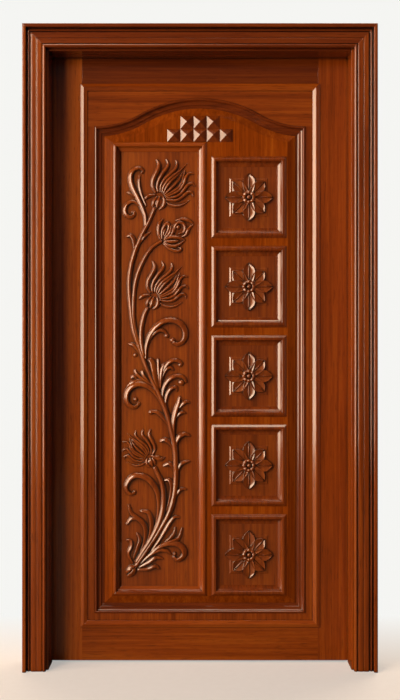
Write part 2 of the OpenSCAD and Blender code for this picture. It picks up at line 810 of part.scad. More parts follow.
// Scrolls, leaves and curls, each from its root to its tip
leaf_strokes = [
    // Upper leaves beside the first flower
    [12, 0.6, 0.4, [[84, 1262], [82, 1296], [70, 1328], [56, 1358], [40, 1390], [31, 1418], [33, 1442],
        [46, 1459], [64, 1463], [76, 1454], [72, 1445]]],
    [8, 0.6, 0.3, [[86, 1330], [72, 1362], [63, 1392], [61, 1420], [66, 1440]]],
    [7, 0.6, 0.4, [[52, 1360], [36, 1371], [19, 1380]]],
    [10, 0.6, 0.5, [[80, 1300], [64, 1332], [42, 1346], [22, 1339], [11, 1320], [14, 1302], [28, 1291],
        [43, 1295], [46, 1307], [37, 1310]]],
    [10, 0.6, 0.5, [[48, 1176], [46, 1200], [42, 1216], [31, 1228], [19, 1224]]],
    [9, 0.6, 0.3, [[60, 1196], [72, 1214], [86, 1229], [102, 1239]]],
    // Big scroll on the right and its inner leaf
    [14, 0.5, 0.6, [[84, 796], [85, 830], [92, 860], [104, 886], [122, 908], [144, 924], [168, 931],
        [193, 927], [213, 914], [224, 893], [225, 872], [215, 854], [198, 846], [183, 852]]],
    [10, 0.5, 0.6, [[90, 838], [97, 862], [112, 883], [132, 896], [150, 893], [160, 880]]],
    [10, 0.6, 0.5, [[72, 808], [57, 830], [42, 845], [27, 848]]],
    // Leaf cluster half way down
    [16, 0.4, 0.7, [[130, 690], [122, 724], [116, 756], [110, 780], [101, 793]]],
    [10, 0.4, 0.5, [[132, 692], [130, 726], [128, 762], [128, 794]]],
    [11, 0.4, 0.4, [[136, 692], [136, 724], [140, 754], [150, 780]]],
    [10, 0.5, 0.6, [[138, 712], [144, 746], [158, 773], [176, 788], [196, 789], [211, 780], [206, 770]]],
    [9, 0.5, 0.6, [[138, 706], [146, 740], [158, 760], [173, 766], [183, 757]]],
    [9, 0.5, 0.6, [[122, 690], [96, 710], [72, 725], [53, 742], [47, 756]]],
    [9, 0.5, 0.7, [[104, 706], [86, 724], [75, 740], [73, 752]]],
    [8, 0.5, 0.4, [[56, 722], [44, 735], [32, 727]]],
    [14, 0.5, 0.5, [[150, 622], [138, 650], [122, 674], [104, 692], [82, 704], [58, 707], [36, 698],
        [21, 681], [16, 660], [21, 640], [36, 627], [52, 627], [62, 638]]],
    [8, 0.5, 0.4, [[84, 714], [58, 719], [36, 712], [20, 698]]],
    [11, 0.5, 0.6, [[143, 650], [145, 682], [154, 706], [171, 726], [194, 736], [217, 731], [228, 715]]],
    [10, 0.5, 0.5, [[153, 620], [155, 652], [163, 678], [178, 694], [192, 695], [196, 683]]],
    // Leaf cluster on the right and the leaves down the lower stem
    [13, 0.5, 0.3, [[185, 512], [181, 546], [182, 580], [190, 614], [200, 642], [205, 664]]],
    [9, 0.5, 0.3, [[189, 586], [200, 601], [214, 609], [228, 604]]],
    [9, 0.5, 0.3, [[201, 620], [212, 635], [227, 645], [242, 642]]],
    [10, 0.5, 0.7, [[170, 560], [156, 580], [141, 597], [124, 609], [106, 611]]],
    [12, 0.5, 0.4, [[189, 480], [193, 506], [203, 523], [221, 532], [241, 526]]],
    [11, 0.5, 0.5, [[188, 468], [180, 490], [166, 506], [150, 513], [138, 506]]],
    [10, 0.5, 0.4, [[194, 392], [201, 416], [214, 431], [240, 437]]],
    [10, 0.5, 0.4, [[190, 396], [182, 417], [168, 429], [147, 420]]],
    [13, 0.5, 0.4, [[160, 262], [171, 296], [178, 330], [177, 356], [167, 372], [151, 370]]],
    [9, 0.5, 0.3, [[186, 308], [196, 326], [209, 339], [230, 339]]],
    // Scroll under the third flower
    [14, 0.5, 0.5, [[106, 176], [120, 204], [129, 234], [133, 264], [133, 296], [127, 330], [112, 357],
        [92, 376], [70, 386], [46, 386], [27, 373], [16, 352], [19, 332], [34, 321], [48, 327]]],
    [9, 0.5, 0.4, [[106, 456], [122, 448], [138, 443], [152, 450]]],
    // Foot: curls to the left, leaves and a scroll to the right
    [12, 0.5, 0.5, [[68, 116], [80, 146], [86, 178], [84, 206], [72, 226], [52, 241], [34, 258], [27, 282]]],
    [9, 0.5, 0.6, [[76, 222], [54, 236], [34, 236], [18, 216]]],
    [12, 0.5, 0.6, [[84, 130], [98, 164], [106, 198], [106, 230], [94, 258], [72, 262]]],
    [10, 0.5, 0.4, [[44, 96], [58, 134], [66, 162], [55, 186]]],
    [9, 0.5, 0.5, [[40, 78], [24, 112], [34, 140], [32, 158], [18, 160]]],
    [11, 0.5, 0.4, [[106, 124], [132, 162], [152, 196], [168, 222], [186, 241], [204, 240]]],
    [11, 0.5, 0.4, [[104, 118], [140, 140], [176, 154], [202, 168], [214, 202]]],
    [9, 0.5, 0.4, [[150, 150], [172, 166], [186, 184], [190, 206]]],
    [14, 0.5, 0.5, [[94, 102], [124, 132], [158, 148], [190, 149], [214, 136], [222, 115], [212, 98],
        [195, 92], [183, 102]]],
    [10, 0.5, 0.4, [[66, 78], [98, 108], [132, 126], [160, 124], [174, 112]]],
    [10, 0.5, 0.4, [[62, 66], [96, 84], [120, 100], [146, 96]]],
    [10, 0.5, 0.4, [[58, 58], [92, 60], [118, 70], [134, 60]]],
    [9, 0.5, 0.4, [[48, 62], [70, 96], [90, 116]]],
    [12, 0.6, 0.5, [[46, 72], [30, 62], [18, 48]]],
    [12, 0.6, 0.5, [[48, 62], [40, 46], [24, 34]]]
];

// Rounded ends of the curls
berries = [
    [200, 1256, 8], [160, 876, 8], [180, 860, 9], [49, 808, 7], [211, 712, 11], [104, 608, 8],
    [62, 638, 6], [50, 653, 8], [47, 330, 6], [72, 262, 7], [188, 112, 7], [206, 774, 6]
];

module carving() {
    for (f = flowers) lotus(f[0], f[1], f[2], f[3]);
    for (s = concat(rose_strokes, stem_strokes, leaf_strokes)) stroke(s);
    for (b = berries) berry([b[0], b[1]], b[2]);
}

module carved_panel() {
    color(wood) on_face() union() {
        panel_board(tall_x, low_z, tall_w, tall_h, tall_seat);
        translate([tall_x + tall_mould_w, low_z + tall_mould_w, -ground_d])
            scale([carve_w / sheet_w, carve_h / sheet_h, 1]) carving();
    }
}

// Rosette panels

// Convex solid from the ground up to the given heights above the tile over an outline
module wedge(outline, heights) {
    n = len(outline);
    hull() polyhedron(
        points = concat(
            [for (q = outline) concat(q, -tile_h - bury)],
            [for (i = [0:n - 1]) concat(outline[i], heights[i])]
        ),
        faces = concat(
            [[for (i = [0:n - 1]) i], [for (i = [n - 1:-1:0]) n + i]],
            [for (i = [0:n - 1]) [i, n + i, n + (i + 1) % n, (i + 1) % n]]
        )
    );
}

// A pointed petal along +Y: two halves that fall from the edges to a thin rib
module petal(length) {
    root = length * petal_root;
    for (s = [-1, 1])
        wedge(
            [[0, root], [s * petal_w / 2, length * petal_waist], [0, length]],
            [petal_h / 2, petal_h, petal_h / 4]
        );
    wedge(
        [[-rib_w / 2, root], [rib_w / 2, root], [0, length]],
        [petal_h, petal_h, petal_h / 2]
    );
}

module rosette() {
    for (i = [0:petal_n - 1]) rotate([0, 0, i * 360 / petal_n])
        petal(i % 2 == 0 ? petal_r : petal_r * corner_share);
    berry([0, 0], bud_r, 0.45);
    translate([0, 0, petal_h]) berry([0, 0], pearl_r, 0.7);
}

// Square step with sloping edges, from the ground up to the given height
module tile_step(w, slope_from, slope_to) {
    top = w - 2 * tile_edge;
    hull() {
        translate([-w / 2, -w / 2, -bury]) cube([w, w, bury + slope_from]);
        translate([-top / 2, -top / 2, -bury]) cube([top, top, bury + slope_to]);
    }
}

// Raised tile in two steps
module tile() {
    tile_step(tile_w, 0, tile_h / 2);
    tile_step(tile_w - 2 * tile_rim, tile_h / 2, tile_h);
}

module rosette_panel(i) {
    z = square_z(i);
    color(wood) on_face() union() {
        panel_board(square_x, z, square_w, square_h, square_seat);
        translate([square_x + square_w / 2, z + square_h / 2, -ground_d]) {
            tile();
            translate([0, 0, tile_h]) rosette();
        }
    }
}

// Studs

// Stud number i: the lower row first, then the upper row
module stud(i) {
    low = i <= stud_rows[0];
    row_n = low ? stud_rows[0] : stud_rows[1];
    k = low ? i : i - stud_rows[0];
    c = [
        (k - (row_n + 1) / 2) * stud_pitch,
        tall_top + stud_gap + stud_w / 2 + (low ? 0 : stud_pitch),
        field_v
    ];
    s = stud_w / 2;
    color(wood_light) on_face() translate(c)
        polyhedron(
            points = [[-s, -s, 0], [s, -s, 0], [s, s, 0], [-s, s, 0], [0, 0, stud_h]],
            faces = [[0, 1, 2, 3], [1, 0, 4], [2, 1, 4], [3, 2, 4], [0, 3, 4]]
        );
}

jamb_left();
jamb_right();
head_jamb();
casing_left();
casing_right();
casing_head();
for (i = [1:3]) hinge_frame_plate(i);
for (i = [1:3]) hinge_pin(i);
hinge_frame_screws();
hinge_stile();
lock_stile();
top_rail();
bottom_rail();
for (s = sides) ridge(s);
arched_surround();
for (s = arch_lengths) arch_moulding(s);
raised_field();
carved_panel();
for (s = sides) tall_frame(s);
for (i = [1:square_n]) square_frame(i);
for (i = [1:square_n]) rosette_panel(i);
for (i = [1:stud_rows[0] + stud_rows[1]]) stud(i);
for (i = [1:3]) hinge_door_plate(i);
hinge_door_screws();
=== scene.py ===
"""Looks of the carved door: lacquered wood, carved panels, brass hinges and a plain studio."""

import logging
import math
from dataclasses import dataclass
from enum import Enum

import bpy
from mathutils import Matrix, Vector


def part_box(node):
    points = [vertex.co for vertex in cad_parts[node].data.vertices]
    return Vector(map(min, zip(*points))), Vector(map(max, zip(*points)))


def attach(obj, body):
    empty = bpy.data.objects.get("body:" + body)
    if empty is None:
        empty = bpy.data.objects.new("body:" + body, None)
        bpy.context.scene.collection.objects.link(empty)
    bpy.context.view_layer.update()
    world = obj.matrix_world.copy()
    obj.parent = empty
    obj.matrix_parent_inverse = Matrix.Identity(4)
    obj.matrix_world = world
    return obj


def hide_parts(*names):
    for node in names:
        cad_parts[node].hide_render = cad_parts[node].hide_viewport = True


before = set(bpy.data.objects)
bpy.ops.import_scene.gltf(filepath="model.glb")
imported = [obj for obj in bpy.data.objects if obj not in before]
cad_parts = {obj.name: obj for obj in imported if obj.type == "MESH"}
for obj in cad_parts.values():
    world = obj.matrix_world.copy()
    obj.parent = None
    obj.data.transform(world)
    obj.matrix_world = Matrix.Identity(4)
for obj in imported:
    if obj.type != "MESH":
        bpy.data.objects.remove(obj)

LOG = logging.getLogger("carved_door")
MM = 0.001
MERGE_REACH = 0.01 * MM
Colour = tuple[float, float, float, float]
Pair = tuple[float, float]
Run = list[tuple[Vector, float]]


def hex_to_linear(code: str) -> Colour:
    """Turn an sRGB hex colour into linear light.

    Args:
        code: Colour such as "#833609".

    Returns:
        Linear red, green, blue and an alpha of 1.
    """
    parts = [int(code[i:i + 2], 16) / 255 for i in (1, 3, 5)]
    red, green, blue = (p / 12.92 if p <= 0.04045 else ((p + 0.055) / 1.055) ** 2.4 for p in parts)
    return red, green, blue, 1.0


def add_node(tree: bpy.types.NodeTree, kind: str, inputs: dict | None = None, **settings) -> bpy.types.Node:
    """Add a node with its settings, values and links.

    Args:
        tree: Node tree that gets the node.
        kind: Type of the node.
        inputs: A value, or an output to link, for each input by name or number.
        settings: Properties of the node.

    Returns:
        The new node.
    """
    node = tree.nodes.new(kind)
    for name, value in settings.items():
        setattr(node, name, value)
    for name, value in (inputs or {}).items():
        if isinstance(value, bpy.types.NodeSocket):
            tree.links.new(value, node.inputs[name])
        else:
            node.inputs[name].default_value = value
    return node


class Grain(Enum):
    """Which way the fibres of a piece run."""

    UPRIGHT = (0, 0, 1)
    LEVEL = (1, 0, 0)

    def spread(self, across: float, along: float) -> tuple[float, ...]:
        """Scale of a pattern whose marks have these sizes in mm."""
        return tuple(1 / (MM * (along if axis else across)) for axis in self.value)


@dataclass(frozen=True)
class LacqueredWood:
    """Reddish hardwood, stained, planed along the fibres and sprayed with a glossy lacquer.

    The stain gives dark and light ribbons along the fibres with short pores, painted shade darkens the
    hollows nearly to black, and the lacquer gives clear highlights on every edge and slope that faces the
    light.
    """

    name: str
    grain: Grain
    dark: str = "#6E2D04"
    middle: str = "#873B09"
    light: str = "#9A4C10"
    shift: float = 0.0
    level_above: float | None = None
    # Size of the marks in the wood, in mm across and along the fibres
    ribbon: Pair = (9.0, 420.0)
    cloud: Pair = (70.0, 900.0)
    # Real pores are about 0.2 mm wide. They are drawn coarser so that they show.
    pore: Pair = (2.4, 46.0)
    waver: float = 0.4
    cloud_share: float = 0.45
    # Levels of the pattern with the dark, middle and light stain, and where pores begin and are full
    stops: tuple[float, float, float] = (0.36, 0.5, 0.66)
    pore_range: Pair = (0.58, 0.72)
    pore_depth: float = 0.45
    pore_colour: str = "#3F1602"
    # How far a hollow reaches in mm, and the open shares of its sky where painted shade in hollows is darkest
    # and clear
    hollow: float = 13.0
    shut: Pair = (0.35, 0.86)
    painted_shade_depth: float = 0.9
    painted_shade_colour: str = "#1E0801"
    hollow_rays: int = 8
    # Radius of the arrises and height of the grain in mm
    edge_round: float = 1.2
    edge_rays: int = 6
    grain_height: float = 0.4
    grain_bump: float = 0.12
    # The wood below the lacquer is rougher between the ribbons, and the lacquer is hard and clear
    gloss_range: Pair = (0.3, 0.7)
    roughness: Pair = (0.5, 0.4)
    sheen: float = 0.03
    sheen_tint: str = "#FFC489"
    coat: float = 1.0
    coat_roughness: float = 0.15
    coat_ior: float = 1.75

    def build(self) -> bpy.types.Material:
        """Make the material.

        Returns:
            The material, ready for a slot.
        """
        material = bpy.data.materials.new(self.name)
        material.use_nodes = True
        tree = material.node_tree
        shader = tree.nodes["Principled BSDF"]
        place = self.place(tree)
        ribbon = self.noise(tree, place, self.ribbon, detail=4.0)
        cloud = self.noise(tree, place, self.cloud, detail=2.0)
        pore = self.noise(tree, place, self.pore, detail=1.0)
        tone = add_node(tree, "ShaderNodeMix", {0: self.cloud_share, 2: ribbon, 3: cloud}).outputs[0]
        ramp = add_node(tree, "ShaderNodeValToRGB", {0: tone})
        dark, middle, light = self.stops
        stops = ramp.color_ramp.elements
        stops[0].position, stops[0].color = dark, hex_to_linear(self.dark)
        stops[1].position, stops[1].color = light, hex_to_linear(self.light)
        stops.new(middle).color = hex_to_linear(self.middle)
        begin, full = self.pore_range
        marks = add_node(
            tree, "ShaderNodeMapRange", {0: pore, 1: begin, 2: full, 3: 0.0, 4: self.pore_depth}
        ).outputs[0]
        grained = add_node(
            tree, "ShaderNodeMix",
            {0: marks, 6: ramp.outputs[0], 7: hex_to_linear(self.pore_colour)}, data_type="RGBA",
        ).outputs[2]
        # Painted shade: the colour goes nearly black where a hollow sees little open sky, as shade would fall
        # there
        open_sky = add_node(
            tree, "ShaderNodeAmbientOcclusion", {"Distance": self.hollow * MM}, samples=self.hollow_rays
        ).outputs["AO"]
        darkest, clear = self.shut
        painted_shade = add_node(
            tree, "ShaderNodeMapRange", {0: open_sky, 1: darkest, 2: clear, 3: self.painted_shade_depth, 4: 0.0}
        ).outputs[0]
        colour = add_node(
            tree, "ShaderNodeMix",
            {0: painted_shade, 6: grained, 7: hex_to_linear(self.painted_shade_colour)}, data_type="RGBA",
        ).outputs[2]
        between, on = self.roughness
        gloss = add_node(
            tree, "ShaderNodeMapRange",
            {0: ribbon, 1: self.gloss_range[0], 2: self.gloss_range[1], 3: between, 4: on},
        ).outputs[0]
        height = add_node(tree, "ShaderNodeMath", {0: ribbon, 1: marks}, operation="SUBTRACT").outputs[0]
        edge = add_node(
            tree, "ShaderNodeBevel", {"Radius": self.edge_round * MM}, samples=self.edge_rays
        ).outputs[0]
        bump = add_node(
            tree, "ShaderNodeBump",
            {
                "Strength": self.grain_bump, "Distance": self.grain_height * MM,
                "Height": height, "Normal": edge,
            },
        ).outputs[0]
        links = {"Base Color": colour, "Roughness": gloss, "Normal": bump, "Coat Normal": edge}
        for socket, output in links.items():
            tree.links.new(output, shader.inputs[socket])
        shader.inputs["Specular IOR Level"].default_value = self.sheen
        shader.inputs["Specular Tint"].default_value = hex_to_linear(self.sheen_tint)
        shader.inputs["Coat Weight"].default_value = self.coat
        shader.inputs["Coat Roughness"].default_value = self.coat_roughness
        shader.inputs["Coat IOR"].default_value = self.coat_ior
        return material

    def place(self, tree: bpy.types.NodeTree) -> bpy.types.NodeSocket:
        """Object coordinates, with the fibres laid level above a height where the board has such a head.

        Args:
            tree: Node tree of the material.

        Returns:
            The coordinates, in metres.
        """
        spot = add_node(tree, "ShaderNodeTexCoord").outputs["Object"]
        if self.level_above is None:
            return spot
        axes = add_node(tree, "ShaderNodeSeparateXYZ", {0: spot}).outputs
        turned = add_node(tree, "ShaderNodeCombineXYZ", {0: axes[2], 1: axes[1], 2: axes[0]}).outputs[0]
        above = add_node(
            tree, "ShaderNodeMath", {0: axes[2], 1: self.level_above}, operation="GREATER_THAN"
        ).outputs[0]
        return add_node(tree, "ShaderNodeMix", {0: above, 4: spot, 5: turned}, data_type="VECTOR").outputs[1]

    def noise(
        self, tree: bpy.types.NodeTree, place: bpy.types.NodeSocket, size: Pair, detail: float
    ) -> bpy.types.NodeSocket:
        """Noise drawn out along the fibres.

        Args:
            tree: Node tree of the material.
            place: Coordinates in metres.
            size: Size of a mark across and along the fibres, in mm.
            detail: Finer layers in the noise.

        Returns:
            The noise, from 0 to 1.
        """
        across, along = size
        spot = add_node(
            tree, "ShaderNodeMapping",
            {0: place, 1: (self.shift, self.shift, self.shift), 3: self.grain.spread(across, along)},
        ).outputs[0]
        return add_node(
            tree, "ShaderNodeTexNoise",
            {"Vector": spot, "Scale": 1.0, "Detail": detail, "Distortion": self.waver},
        ).outputs[0]


@dataclass(frozen=True)
class SatinBrass:
    """Cast brass, brushed and left bare: a warm metal with a soft sheen and faint upright scratches."""

    name: str = "satin_brass"
    colour: str = "#C9A45C"
    tarnish: str = "#96733A"
    # Size of the scratches in mm across and along, and their height in mm
    scratch: Pair = (1.5, 30.0)
    scratch_height: float = 0.2
    scratch_bump: float = 0.1
    roughness: Pair = (0.34, 0.5)

    def build(self) -> bpy.types.Material:
        """Make the material.

        Returns:
            The material, ready for a slot.
        """
        material = bpy.data.materials.new(self.name)
        material.use_nodes = True
        tree = material.node_tree
        shader = tree.nodes["Principled BSDF"]
        spot = add_node(tree, "ShaderNodeTexCoord").outputs["Object"]
        drawn = add_node(
            tree, "ShaderNodeMapping", {0: spot, 3: Grain.UPRIGHT.spread(*self.scratch)}
        ).outputs[0]
        scratches = add_node(
            tree, "ShaderNodeTexNoise", {"Vector": drawn, "Scale": 1.0, "Detail": 2.0}
        ).outputs[0]
        colour = add_node(
            tree, "ShaderNodeMix",
            {0: scratches, 6: hex_to_linear(self.tarnish), 7: hex_to_linear(self.colour)}, data_type="RGBA",
        ).outputs[2]
        smooth, rough = self.roughness
        gloss = add_node(tree, "ShaderNodeMapRange", {0: scratches, 3: smooth, 4: rough}).outputs[0]
        bump = add_node(
            tree, "ShaderNodeBump",
            {"Strength": self.scratch_bump, "Distance": self.scratch_height * MM, "Height": scratches},
        ).outputs[0]
        for socket, output in {"Base Color": colour, "Roughness": gloss, "Normal": bump}.items():
            tree.links.new(output, shader.inputs[socket])
        shader.inputs["Metallic"].default_value = 1.0
        return material


def pick(piece: bpy.types.Object) -> None:
    """Select one object alone and make it active.

    Args:
        piece: Object that is selected.
    """
    bpy.ops.object.select_all(action="DESELECT")
    piece.select_set(True)
    bpy.context.view_layer.objects.active = piece


def joined(parts: list[bpy.types.Object], name: str) -> bpy.types.Object:
    """Join objects into the first of them.

    Args:
        parts: Objects to join.
        name: Name of the joined object.

    Returns:
        The joined object.
    """
    pick(parts[0])
    for part in parts:
        part.select_set(True)
    bpy.ops.object.join()
    parts[0].name = parts[0].data.name = name
    return parts[0]


def tidied(piece: bpy.types.Object) -> bpy.types.Object:
    """Merge doubles of a mesh and point its faces outwards.

    Args:
        piece: Object with the mesh.

    Returns:
        The same object.
    """
    pick(piece)
    bpy.ops.object.mode_set(mode="EDIT")
    bpy.ops.mesh.select_all(action="SELECT")
    bpy.ops.mesh.remove_doubles(threshold=MERGE_REACH)
    bpy.ops.mesh.normals_make_consistent(inside=False)
    bpy.ops.object.mode_set(mode="OBJECT")
    return piece


def slab(middle: Pair, size: Vector, thick: float) -> bpy.types.Object:
    """Plain board that lies flat, with its top face at z = 0.

    Args:
        middle: Where its middle lies, in metres.
        size: Size of the box of the upright board, in metres.
        thick: Thickness in metres.

    Returns:
        The board.
    """
    bpy.ops.object.select_all(action="DESELECT")
    bpy.ops.mesh.primitive_cube_add(
        size=1, location=(*middle, -thick / 2), scale=(size.x, size.z, thick)
    )
    board = bpy.context.object
    bpy.ops.object.transform_apply(location=True, rotation=True, scale=True)
    return board


def boss(middle: Vector, radius: float, flat: float, sides: int) -> bpy.types.Object:
    """Rounded boss, of which the upper part shows.

    Args:
        middle: Its middle, in metres.
        radius: Its radius in metres.
        flat: Its height as a share of its width.
        sides: Number of its sides.

    Returns:
        The boss.
    """
    bpy.ops.object.select_all(action="DESELECT")
    bpy.ops.mesh.primitive_uv_sphere_add(
        segments=sides, ring_count=sides // 2, radius=radius, scale=(1.0, 1.0, flat), location=middle
    )
    ball = bpy.context.object
    bpy.ops.object.transform_apply(location=True, rotation=True, scale=True)
    return ball


def stand_up(piece: bpy.types.Object, corner: Vector, crease: float) -> None:
    """Turn a piece that was carved lying flat so that it faces the front, and apply its place.

    Args:
        piece: Carved piece, with its ground at z = 0.
        corner: Where the origin of its ground goes.
        crease: Angle in degrees from which an edge stays sharp.
    """
    pick(piece)
    piece.rotation_euler = (math.pi / 2, 0.0, 0.0)
    piece.location = corner
    bpy.ops.object.transform_apply(location=True, rotation=True, scale=True)
    bpy.ops.object.shade_smooth_by_angle(angle=math.radians(crease))


def dress(piece: bpy.types.Object, material: bpy.types.Material) -> None:
    """Put one material into every slot of a piece.

    Args:
        piece: Piece that is dressed.
        material: Finish of the piece.
    """
    if not piece.material_slots:
        piece.data.materials.append(material)
    for place in piece.material_slots:
        place.material = material


# Rounded end of a stroke: how far past its last point and how wide, as shares of its last width
ROUND_END: tuple[Pair, ...] = ((0.28, 0.88), (0.42, 0.6), (0.5, 0.15))
FEWEST_SPANS = 8


@dataclass(frozen=True)
class Stroke:
    """A carved stroke of the flower panel: its width in mm, its share at root and tip, and its points."""

    width: float
    root: float
    tip: float
    points: tuple[Pair, ...]

    def at(self, place: float) -> Vector:
        """Point of the smooth curve through the stroke's points.

        Args:
            place: Number of the point, with a fraction between points.

        Returns:
            The point on the drawing, in mm.
        """
        last = len(self.points) - 1
        i = min(last - 1, int(place))
        a, b, c, d = (Vector(self.points[max(0, min(last, k))]) for k in (i - 1, i, i + 1, i + 2))
        t = place - i
        bend = (2 * a - 5 * b + 4 * c - d) * t * t
        twist = (3 * b - a - 3 * c + d) * t ** 3
        return 0.5 * (2 * b + (c - a) * t + bend + twist)

    def swell(self, share: float) -> float:
        """Width at a share of the stroke's length, from its root to its tip."""
        end = self.root if share < 0.5 else self.tip
        return self.width * (end + (1 - end) * math.sin(math.pi * share))

    def turns_left(self) -> bool:
        """Whether the stroke turns to the left on the whole.

        Returns:
            True where it does.
        """
        turn = 0.0
        for a, b, c in zip(self.points, self.points[1:], self.points[2:]):
            turn += (b[0] - a[0]) * (c[1] - b[1]) - (b[1] - a[1]) * (c[0] - b[0])
        return turn > 0

    def samples(self, step: float) -> list[tuple[Vector, float]]:
        """Points along the stroke with its width there, and a rounded end at root and tip.

        Args:
            step: Distance between points, in mm.

        Returns:
            Points and widths in mm, from root to tip.
        """
        spans = len(self.points) - 1
        length = sum(math.dist(a, b) for a, b in zip(self.points, self.points[1:]))
        count = max(FEWEST_SPANS, math.ceil(length / step))
        run = [(self.at(spans * k / count), self.swell(k / count)) for k in range(count + 1)]
        return self.end(run[0], run[1])[::-1] + run + self.end(run[-1], run[-2])

    @staticmethod
    def end(last: tuple[Vector, float], before: tuple[Vector, float]) -> Run:
        """Rounded end of a stroke.

        Args:
            last: Last point of the stroke and its width.
            before: The point before it and its width.

        Returns:
            Points and widths past the last point, in mm.
        """
        spot, width = last
        ahead = (spot - before[0]).normalized()
        return [(spot + ahead * width * far, width * share) for far, share in ROUND_END]


# Lotus flower with its throat at the origin, opening up and to the right
LOTUS: tuple[Stroke, ...] = (
    Stroke(12, 0.5, 0.3, ((-16, 6), (-27, 28), (-25, 50), (-14, 74), (-6, 92), (-6, 107), (-14, 121))),
    Stroke(10, 0.5, 0.3, ((-8, 7), (-11, 27), (-5, 50), (9, 74), (23, 92), (28, 107), (20, 122))),
    Stroke(9, 0.5, 0.35, ((0, 9), (2, 29), (15, 52), (37, 72), (54, 90), (59, 105), (55, 119))),
    Stroke(9, 0.5, 0.2, ((7, 6), (11, 24), (25, 45), (47, 65), (70, 83), (93, 107))),
    Stroke(8, 0.5, 0.2, ((11, 2), (21, 23), (37, 44), (58, 64), (76, 82))),
    Stroke(8, 0.5, 0.2, ((14, -2), (32, 15), (51, 33), (68, 53), (78, 76))),
    Stroke(8, 0.5, 0.2, ((16, -7), (42, 8), (65, 23), (77, 42), (82, 63), (88, 86))),
    Stroke(9, 0.5, 0.3, ((18, -11), (46, 1), (69, 15), (82, 36), (89, 57), (102, 72), (118, 70))),
    Stroke(9, 0.5, 0.3, ((20, -15), (48, -11), (71, 0), (86, 19), (98, 33), (112, 37), (123, 27))),
    Stroke(9, 0.5, 0.3, ((20, -20), (48, -23), (70, -16), (86, -2), (100, 7), (112, 4), (116, -8))),
    Stroke(7, 0.5, 0.3, ((17, -25), (32, -37), (53, -42), (77, -38), (102, -22))),
    Stroke(9, 0.4, 0.4, ((-26, -44), (-23, -26), (-12, -8))),
    Stroke(10, 0.4, 0.4, ((-13, -50), (-8, -28), (-2, -8))),
    Stroke(10, 0.4, 0.4, ((-4, -53), (10, -42), (14, -26), (9, -8))),
    Stroke(9, 0.5, 0.5, ((-18, -3), (-36, -5), (-48, -11), (-55, -19))),
)

# Strokes and berries of the drawing, in mm from the lower left corner of the panel's ground
ROSE: tuple[Stroke, ...] = (
    Stroke(9, 0.5, 0.3, ((139, 1212), (131, 1236), (131, 1257), (137, 1273), (148, 1285))),
    Stroke(9, 0.5, 0.5, (
        (143, 1214), (142, 1236), (148, 1255), (160, 1269), (167, 1261), (164, 1245), (152, 1224))),
    Stroke(7, 0.5, 0.3, ((147, 1225), (151, 1241), (158, 1256))),
    Stroke(8, 0.5, 0.3, ((151, 1217), (165, 1228), (173, 1245), (175, 1267))),
    Stroke(8, 0.5, 0.3, ((155, 1215), (174, 1226), (182, 1245), (184, 1265))),
    Stroke(9, 0.5, 0.5, (
        (186, 1238), (189, 1260), (202, 1273), (217, 1268), (224, 1252), (217, 1238), (203, 1234))),
    Stroke(9, 0.4, 0.3, ((192, 1280), (215, 1284), (238, 1278), (254, 1267))),
    Stroke(9, 0.4, 0.3, ((214, 1222), (228, 1232), (236, 1250), (253, 1266))),
    Stroke(9, 0.5, 0.3, ((150, 1212), (178, 1221), (204, 1218), (224, 1211))),
    Stroke(9, 0.5, 0.3, ((152, 1207), (178, 1205), (204, 1208))),
    Stroke(9, 0.5, 0.3, ((150, 1203), (165, 1193), (186, 1189), (206, 1197), (223, 1210))),
    Stroke(8, 0.5, 0.4, ((150, 1198), (164, 1184), (182, 1175), (200, 1172), (210, 1180), (200, 1186))),
)

STEMS: tuple[Stroke, ...] = (
    Stroke(11, 0.8, 0.9, (
        (116, 1322), (106, 1296), (92, 1266), (78, 1240), (65, 1212), (54, 1186), (44, 1158), (36, 1128),
        (30, 1096), (27, 1062), (28, 1026), (31, 990), (35, 950), (41, 905), (50, 870), (63, 838))),
    Stroke(10, 0.8, 0.9, (
        (140, 1206), (112, 1188), (92, 1164), (77, 1138), (64, 1110), (55, 1084), (48, 1054), (44, 1020),
        (42, 980), (42, 945), (46, 910), (55, 872), (66, 838))),
    Stroke(11, 0.8, 0.9, ((92, 972), (82, 952), (75, 928), (70, 898), (69, 866), (72, 836), (79, 806))),
    Stroke(13, 0.7, 0.9, (
        (60, 842), (70, 814), (78, 792), (87, 768), (98, 742), (109, 718), (121, 694), (134, 667),
        (146, 640), (156, 614), (164, 589), (171, 563), (177, 537), (183, 512), (187, 488), (190, 458),
        (191, 428), (192, 398), (191, 366), (188, 334), (183, 306), (175, 276), (165, 250), (153, 227),
        (139, 203), (124, 178), (110, 157), (96, 136), (82, 115), (66, 92), (52, 72))),
    Stroke(14, 0.7, 0.8, (
        (118, 414), (128, 392), (139, 368), (146, 342), (148, 312), (147, 282), (142, 252), (133, 222),
        (120, 192), (104, 163), (88, 138), (71, 112), (54, 84))),
)

